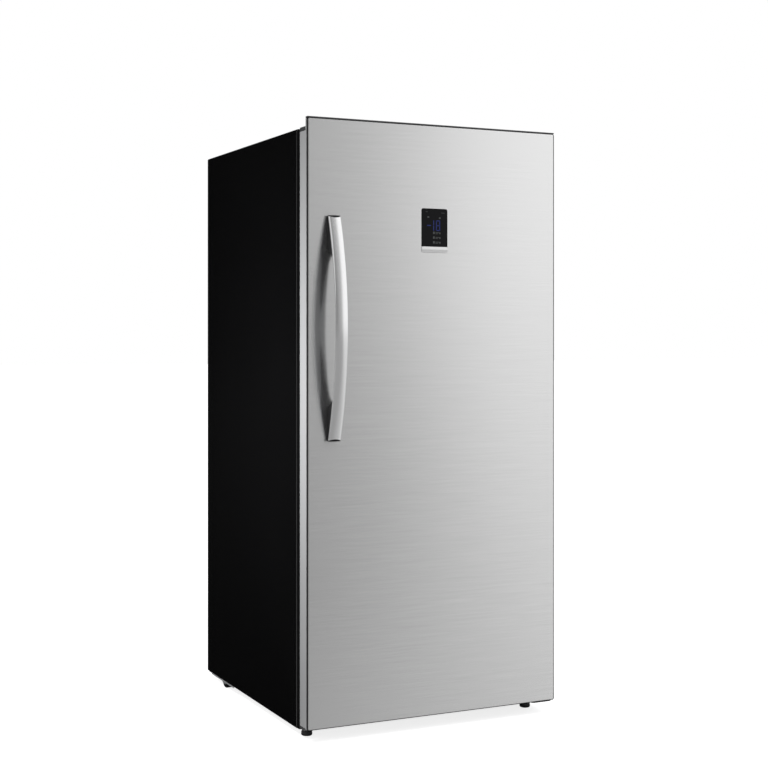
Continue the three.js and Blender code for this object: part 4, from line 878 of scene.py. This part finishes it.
def make_compressor():
    x, y, z = COMPRESSOR
    profile = [
        (0, 3), (40, 3), (46, 3.4), (56, 7.5), (63, 12), (67, 22), (69.5, 40), (71, 58), (72, 62.5),
        (75.6, 63.4), (76, 64.5), (76, 69.5), (75.4, 70.6), (72, 71.2), (71.2, 73), (70.6, 90),
        (69.5, 104), (67, 115), (63, 124), (57, 132.5), (49, 139), (39, 144), (28, 147.4), (14, 149.4),
        (0, 150),
    ]
    verts, faces = turned(profile, Vector((0, 0, 0)), "Z", 72)
    wider, narrower = 1.12, 0.92    # the shell is oval
    dome = [Vector((v.x * wider, v.y * narrower, v.z)) + at(CABINET, x, y, z) for v in verts]
    solid_piece("compressor_shell", dome, faces, "cabinet", "black_paint", ["compressor"])
    thick = 3
    wing_out, wing_in, wing_half, waist_half = 98, 60, 66, 48
    plate = merged([
        slab([(wing_out, -wing_half), (wing_out, wing_half), (wing_in, wing_half),
              (wing_in, -wing_half)], x, y, z, thick),
        slab([(-wing_in, -wing_half), (-wing_in, wing_half), (-wing_out, wing_half),
              (-wing_out, -wing_half)], x, y, z, thick),
        slab([(wing_in, -waist_half), (wing_in, waist_half), (-wing_in, waist_half),
              (-wing_in, -waist_half)], x, y, z, thick),
    ])
    solid_piece("compressor_foot", *plate, "cabinet", "black_paint", ["compressor"], edge=0.8)
    bends = ((-60, 20, 60), (-88, 25, 60), (-95, 27, 74), (-95, 27, 112))
    pipe = filleted([at(CABINET, x + a, y + b, z + c) for a, b, c in bends], 8 * MM)
    wire_piece("compressor_process_pipe", [(pipe, False)], 3.1, "cabinet", "copper", ["compressor"])


def slab(outline, x, y, z, high):
    """A plate with an outline of [x, y] points round a place on the cabinet."""
    rings = [[at(CABINET, x + px, y + py, z + h) for px, py in outline] for h in (0, high)]
    return skin(rings)


def make_grommets():
    profile = [(4.5, 0), (12.6, 0), (13, 0.6), (13, 5.2), (12.4, 5.7), (8.5, 6), (8.5, 9.4), (11, 9.6),
               (11.5, 10.4), (10, 14), (4.5, 14)]
    apart_x, apart_y, low = 85, 52, 26.0
    for i, (side, end) in enumerate(((-1, -1), (1, -1), (-1, 1), (1, 1)), 1):
        x, y = COMPRESSOR[0] + side * apart_x, COMPRESSOR[1] + end * apart_y
        name = f"compressor_grommet_{i}"
        ring = turned(profile, at(CABINET, x, y, low), "Z", 36, loop=True)
        solid_piece(name + "_fine", *ring, "cabinet", "rubber", [name])


def make_evaporator():
    """Close thin fins on a back plate, with one pipe that winds through them."""
    y0, z0, reach, high = 566 + 14.7, 562.0, 205.0, 210.0
    count, half_thick = 58, 0.25
    fins = []
    for i in range(count):
        x = -reach + 2 * reach * i / (count - 1)
        fins.append(brick(at(CABINET, x - half_thick, y0, z0 + 0.5),
                          at(CABINET, x + half_thick, y0 + 31, z0 + high - 0.5)))
    fins.append(brick(at(CABINET, -reach, y0 + 30.5, z0), at(CABINET, reach, y0 + 34, z0 + high)))
    solid_piece("evaporator_fins", *merged(fins), "cabinet", "fin_aluminium", ["evaporator"])
    levels = [34 + 31.5 * k for k in range(5)]
    turn_at = reach + 14        # where the pipe turns up to its next level
    path = [(-reach, levels[0])]
    side = 1
    for low, up in zip(levels, levels[1:]):
        path += [(side * turn_at, low), (side * turn_at, up)]
        side = -side
    path.append((side * turn_at, levels[-1]))
    line = [at(CABINET, px, y0 + 20, z0 + pz) for px, pz in path]
    wire_piece("evaporator_pipe", [(filleted(line, 13 * MM, 8), False)], 4, "cabinet",
               "fin_aluminium", ["evaporator"])


def spline_through(points, steps=8):
    """A smooth path through points (Catmull-Rom)."""
    line = [points[0] * 2 - points[1]] + points + [points[-1] * 2 - points[-2]]
    path = []
    for a, b, c, d in zip(line, line[1:], line[2:], line[3:]):
        for i in range(steps):
            t = i / steps
            path.append(0.5 * ((2 * b) + (c - a) * t + (2 * a - 5 * b + 4 * c - d) * t * t
                               + (3 * b - a - 3 * c + d) * t ** 3))
    path.append(points[-1])
    return path


def make_suction_line():
    """From the compressor's side up behind the liner to the evaporator's underside."""
    start, y = COMPRESSOR[0] + 80.3, COMPRESSOR[1]
    rise_x, rise_y = 150, 592
    points = [
        (start, y, 86), (start + 18, y, 86), (start + 50, y + 2, 88), (105, 582, 118), (142, 590, 170),
        *[(rise_x, rise_y, z) for z in (225, 300, 400, 561.7)],
    ]
    path = spline_through([at(CABINET, *p) for p in points])
    wire_piece("suction_line_fine", [(path, False)], 3.95, "cabinet", "copper", ["suction_line"])


# ------------------------------------------------------------------ feet, rollers, screws


SIDES = (("left", -1), ("right", 1))
FOOT_X, FOOT_Y = 320, 33
ROLLER_X, ROLLER_Y, ROLLER_RADIUS = 335, 562, 22


def make_feet():
    """Levelling legs: a pad, a hexagon for the spanner and a thread."""
    pitch, crest, valley = 2, 4.0, 3.3
    pad = [(0, 0), (11.4, 0), (12.4, 0.4), (13.8, 1.8), (14, 2.6), (14, 9.4), (13.4, 10.6),
           (11.2, 12.3), (0, 12.4)]
    thread = [(0, 16), (crest, 16)]
    for turn in range(18):
        thread += [(crest, 17 + pitch * turn), (valley, 18 + pitch * turn)]
    thread += [(3.6, 52), (0, 52)]
    for name, side in SIDES:
        centre = at(CABINET, side * FOOT_X, FOOT_Y, 0)
        corners = [(9 * math.cos(math.radians(60 * i)), 9 * math.sin(math.radians(60 * i)))
                   for i in range(6)]
        hexagon = [[at(CABINET, side * FOOT_X + px, FOOT_Y + py, h) for px, py in corners]
                   for h in (12, 17)]
        parts = merged([turned(pad, centre), turned(thread, centre, steps=32), skin(hexagon)])
        node_name = f"levelling_leg_{name}"
        solid_piece(node_name + "_fine", *parts, f"leg_{name}", "dark_plastic", [node_name], edge=0.3)


def make_rollers():
    """Rollers with a hub, a groove on each side and a rounded tread."""
    half = 9.5
    half_profile = [
        (4.4, -half), (8.2, -half), (8.5, -half + 0.4), (8.5, -half + 3), (16, -half + 3),
        (16, -half + 0.4), (16.4, -half), (20, -half), (21, -half + 0.5), (21.8, -half + 1.6),
        (ROLLER_RADIUS, -half + 3),
    ]
    profile = half_profile + [(r, -h) for r, h in reversed(half_profile)]
    for name, side in SIDES:
        centre = at(CABINET, side * ROLLER_X, ROLLER_Y, ROLLER_RADIUS)
        node_name = f"rear_roller_{name}"
        roller = turned(profile, centre, "X", 64, loop=True)
        solid_piece(node_name + "_fine", *roller, f"roller_{name}", "black_plastic", [node_name])


def screw_head(centre, axis, radius=4.0, high=2.2):
    """A pan head with a cross recess. axis points out of the surface."""
    recess_reach, recess_half, recess_depth = 0.55, 0.13, 0.45    # shares of the radius and height
    axis = Vector(axis)
    side = axis.orthogonal().normalized()
    up = axis.cross(side)
    steps = 48
    rings = []
    for share, rise in ((1.0, 0.0), (1.0, 0.35), (0.94, 0.62), (0.8, 0.84), (0.62, 0.95), (0.5, 0.97),
                        (0.4, 0.98), (0.3, 0.99), (0.2, 1.0), (0.1, 1.0), (0.0, 1.0)):
        ring = []
        for i in range(steps):
            a = 2 * math.pi * i / steps
            u, v = share * math.cos(a), share * math.sin(a)
            in_cross = share < recess_reach and (abs(u) < recess_half or abs(v) < recess_half)
            depth = recess_depth if in_cross else 0.0
            ring.append(centre + (side * u + up * v) * radius * MM + axis * (rise - depth) * high * MM)
        rings.append(ring)
    return skin(rings, ends=False)


def make_screws():
    """Screws of the cover of the machine compartment, and smaller ones of the rear panel."""
    outward = (0, 1, 0)
    cover_y, panel_y = 676.9, 676.45
    heads = []
    for z in (45, 285):
        for x in (-340, 0, 340):
            heads.append(screw_head(at(CABINET, x, cover_y, z), outward))
    for x in (-330, 330):
        for z in (360, 930, 1480):
            heads.append(screw_head(at(CABINET, x, panel_y, z), outward, 3.6, 2.0))
    solid_piece("back_screws", *merged(heads), "cabinet", "steel")


def make_rear_seam():
    """Hem of the rear panel, behind the joint with the cover of the machine compartment."""
    low, high = at(CABINET, -349, 675.05, 291), at(CABINET, 349, 675.5, 306)
    solid_piece("rear_panel_hem", *brick(low, high), "cabinet", "galvanised")


# ------------------------------------------------------------------ assembly

make_handle()
make_rear_seam()
make_display()
make_door_skin()
make_gasket()
make_basket()
make_fan()
make_compressor()
make_grommets()
make_evaporator()
make_suction_line()
make_feet()
make_rollers()
make_screws()

MADE_FINER = {                  # nodes that the functions above replace
    "door_panel", "handle_cover", "handle_core", "door_gasket", "wire_basket", "evaporator_fan",
    "compressor", "compressor_grommet_1", "compressor_grommet_2", "compressor_grommet_3",
    "compressor_grommet_4", "evaporator", "suction_line", "levelling_leg_left",
    "levelling_leg_right", "rear_roller_left", "rear_roller_right",
}
BROKEN_EDGE = 0.35              # mm, where EDGES names no other
EDGES = {
    "foam_insulation": 0, "door_foam": 0, "inner_liner": 0.8, "door_liner": 0.5, "drain_pan": 0.8,
    "compressor_terminal_cover": 0.8, "top_hinge_cover": 0.4, "control_glass": 0.2,
}
for name in sorted(NODES):
    if name not in MADE_FINER:
        soften(name, EDGES.get(name, BROKEN_EDGE))

bpy.context.scene.view_settings.view_transform = "Standard"
